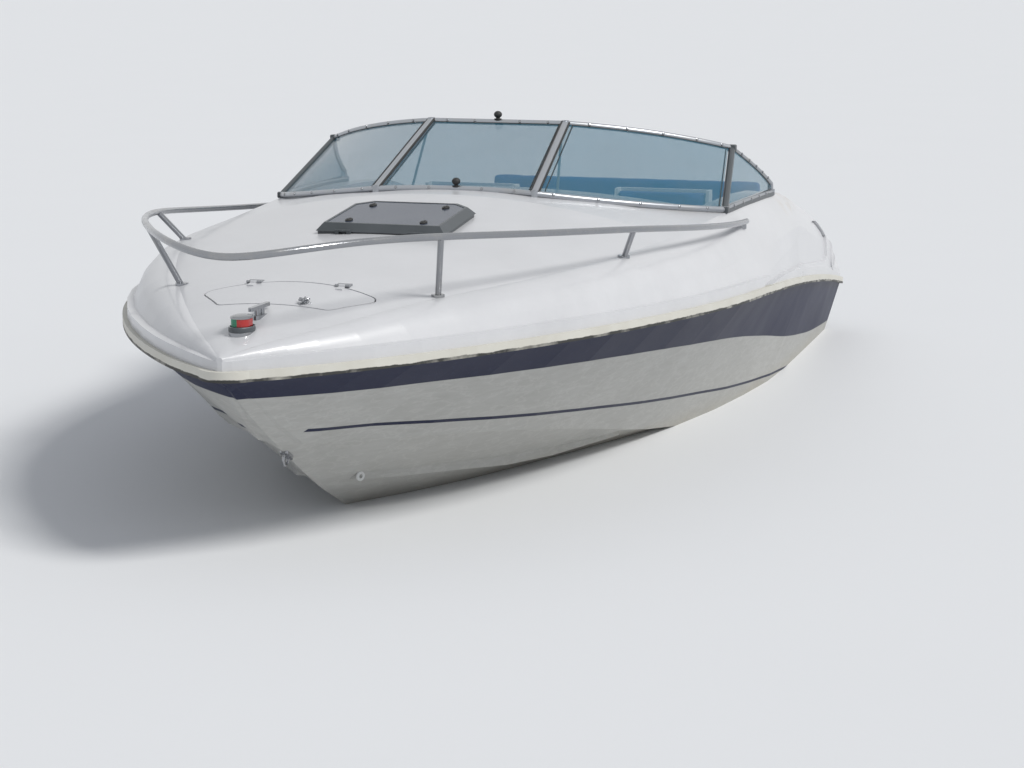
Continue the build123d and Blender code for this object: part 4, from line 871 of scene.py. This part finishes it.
# %% Sun pad
low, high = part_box("sun_pad")
third = (high[0] - low[0]) / 3
pad_lines = [low[0] + third, low[0] + 2 * third]
cushion(
    "sun_pad", "engine_lid", 0.009, 0.008, 0.014,
    lambda place: place.z < low[2] + 0.012 or (place.z > high[2] - 0.02 and near(place.x, pad_lines, 0.007)),
)
welts = [tube("welt", rounded_loop(low, high, low[2] + 0.030, 0.03), WELT, closed=True, sides=2)]
dress(join("sun_pad_welt", welts), "white_vinyl", "engine_lid", 60)
print("sun pad", [round(b - a, 2) for a, b in zip(low, high)])

# %% [markdown]
# The two jump seats beside it have a cushion each, sewn across the middle, with a welt round the top.

# %% Jump seat cushions
low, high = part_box("jump_cushions")
seat_low = (low[0], high[1] - 0.375, low[2])
middle_y = (seat_low[1] + high[1]) / 2
cushion(
    "jump_cushions", "boat", 0.008, 0.008, 0.014,
    lambda place: place.z < low[2] + 0.012
    or (place.z > high[2] - 0.02 and near(abs(place.y), [middle_y], 0.007)),
)
welts = []
for side in (1, -1):
    loop = [(x, side * y, z) for x, y, z in rounded_loop(seat_low, high, high[2] - 0.016, 0.05)]
    welts.append(tube("welt", loop, WELT, closed=True, sides=2))
dress(join("jump_seat_welts", welts), "white_vinyl", "boat", 60)
print("jump seats", [round(b - a, 2) for a, b in zip(seat_low, high)])

# %% [markdown]
# The berth in the cabin is seen only down the hatch and through the door, so its mesh is coarser.

# %% Berth cushions
low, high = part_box("berth_cushions")
berth_lines = [low[0] + 0.52, low[0] + 1.08]
cushion(
    "berth_cushions", "boat", 0.014, 0.010, 0.016,
    lambda place: place.z < low[2] + 0.016
    or (place.z > high[2] - 0.03 and near(place.x, berth_lines, 0.010)),
)
print("berth seams at", [round(line, 2) for line in berth_lines])

# %% [markdown]
# The two swivel seats turn, so their cushions ride on the chairs. Three channels run over seat and back.

# %% Swivel seats
for node, body in (("helm_cushions", "helm_chair"), ("companion_cushions", "companion_chair")):
    low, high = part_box(node)
    middle_y = (low[1] + high[1]) / 2
    half = (high[1] - low[1]) / 2
    channels = [middle_y - 0.5 * half, middle_y, middle_y + 0.5 * half]
    cushion(
        node, body, 0.008, 0.007, 0.013,
        lambda place: place.z < low[2] + 0.010 or place.x < low[0] + 0.012
        or (near(place.y, channels, 0.006) and (place.x > low[0] + 0.07 or place.z < low[2] + 0.12)),
    )
print("swivel seats padded")

# %% [markdown]
# Through the windscreen a blue band shows low across the whole stern: a long back rest that stands on the aft
# coaming. It starts as a box with rounded edges and is stuffed in the same way, sewn into eight panels.

# %% Stern back rest
REST_MIDDLE, REST_HALF, REST_TOP = -2.117, 0.765, 0.868
rest_foot = max(deck_top(REST_MIDDLE, y)[0].z for y in (-0.7, 0.0, 0.7)) + 0.002
low = Vector((REST_MIDDLE - 0.037, -REST_HALF, rest_foot))
high = Vector((REST_MIDDLE + 0.037, REST_HALF, REST_TOP))
bolster = block("stern_back_rest", low, high, 0.022)
bolster_lines = [low.y + (high.y - low.y) * step / 8 for step in range(1, 8)]
stuff(
    bolster, "boat", 0.008, 0.006, 0.010,
    lambda place: place.z < low.z + 0.012 or near(place.y, bolster_lines, 0.007),
)
print("back rest from", round(rest_foot, 3), "up, sewn into", len(bolster_lines) + 1, "panels")

# %% [markdown]
# The pads under the coamings are thin, so they are pulled in at four seams.

# %% Coaming pads
low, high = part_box("coaming_pads")
tufts = [low[0] + (high[0] - low[0]) * step / 5 for step in range(1, 5)]
cushion(
    "coaming_pads", "boat", 0.006, 0.004, 0.006,
    lambda place: abs(place.y) > high[1] - 0.008 or near(place.x, tufts, 0.006),
)
print("coaming pads tufted")

# %% [markdown]
# The boat sits in a pale floor at its waterline. One broad sun from the port side, wide enough for soft
# shadows, lights the floor evenly to its far edge. The world fills the shade, and the camera and every
# reflection see it as pale as the floor.

# %% Floor, world and sun
PALE = (0.765, 0.775, 0.785)
SUN_SHARE, SKY_SHARE = 0.50, 0.42
TO_SUN = Vector((0.16, 0.66, 0.73)).normalized()

floor = start(bpy.ops.mesh.primitive_plane_add, "floor", size=400.0, location=(0, 0, 0))
floor_finish = Finish("pale_floor")
paint = tuple(value / (SUN_SHARE + SKY_SHARE) for value in PALE)
floor.data.materials.append(floor_finish.set(
    Base_Color=mix(floor_finish.noise(0.7, 3.0), tuple(0.985 * value for value in paint), paint),
    Roughness=0.8,
    Specular_IOR_Level=0.1,
))

world = bpy.data.worlds.new("sky")
bpy.context.scene.world = world
world.use_nodes = True
sky_tree = world.node_tree
sky = sky_tree.nodes["Background"]
light_path = sky_tree.nodes.new("ShaderNodeLightPath")
seen = Wire(sky_tree, light_path.outputs["Is Camera Ray"])
glossy = Wire(sky_tree, light_path.outputs["Is Glossy Ray"])
through = Wire(sky_tree, light_path.outputs["Is Transmission Ray"])
direct = (seen + glossy + through).clamped()
sky_tree.links.new(mix(direct, (0.94, 0.98, 1.06), PALE).socket, sky.inputs["Color"])
sky_tree.links.new((SKY_SHARE + (1 - SKY_SHARE) * direct).socket, sky.inputs["Strength"])

sun_data = bpy.data.lights.new("broad_sun", "SUN")
sun_data.energy = SUN_SHARE * pi / TO_SUN.z
sun_data.angle = radians(16)
sun_data.color = (1.0, 0.985, 0.96)
sun = bpy.data.objects.new("broad_sun", sun_data)
bpy.context.scene.collection.objects.link(sun)
sun.rotation_euler = TO_SUN.to_track_quat("Z", "Y").to_euler()
print("sun strength", round(sun_data.energy, 2))
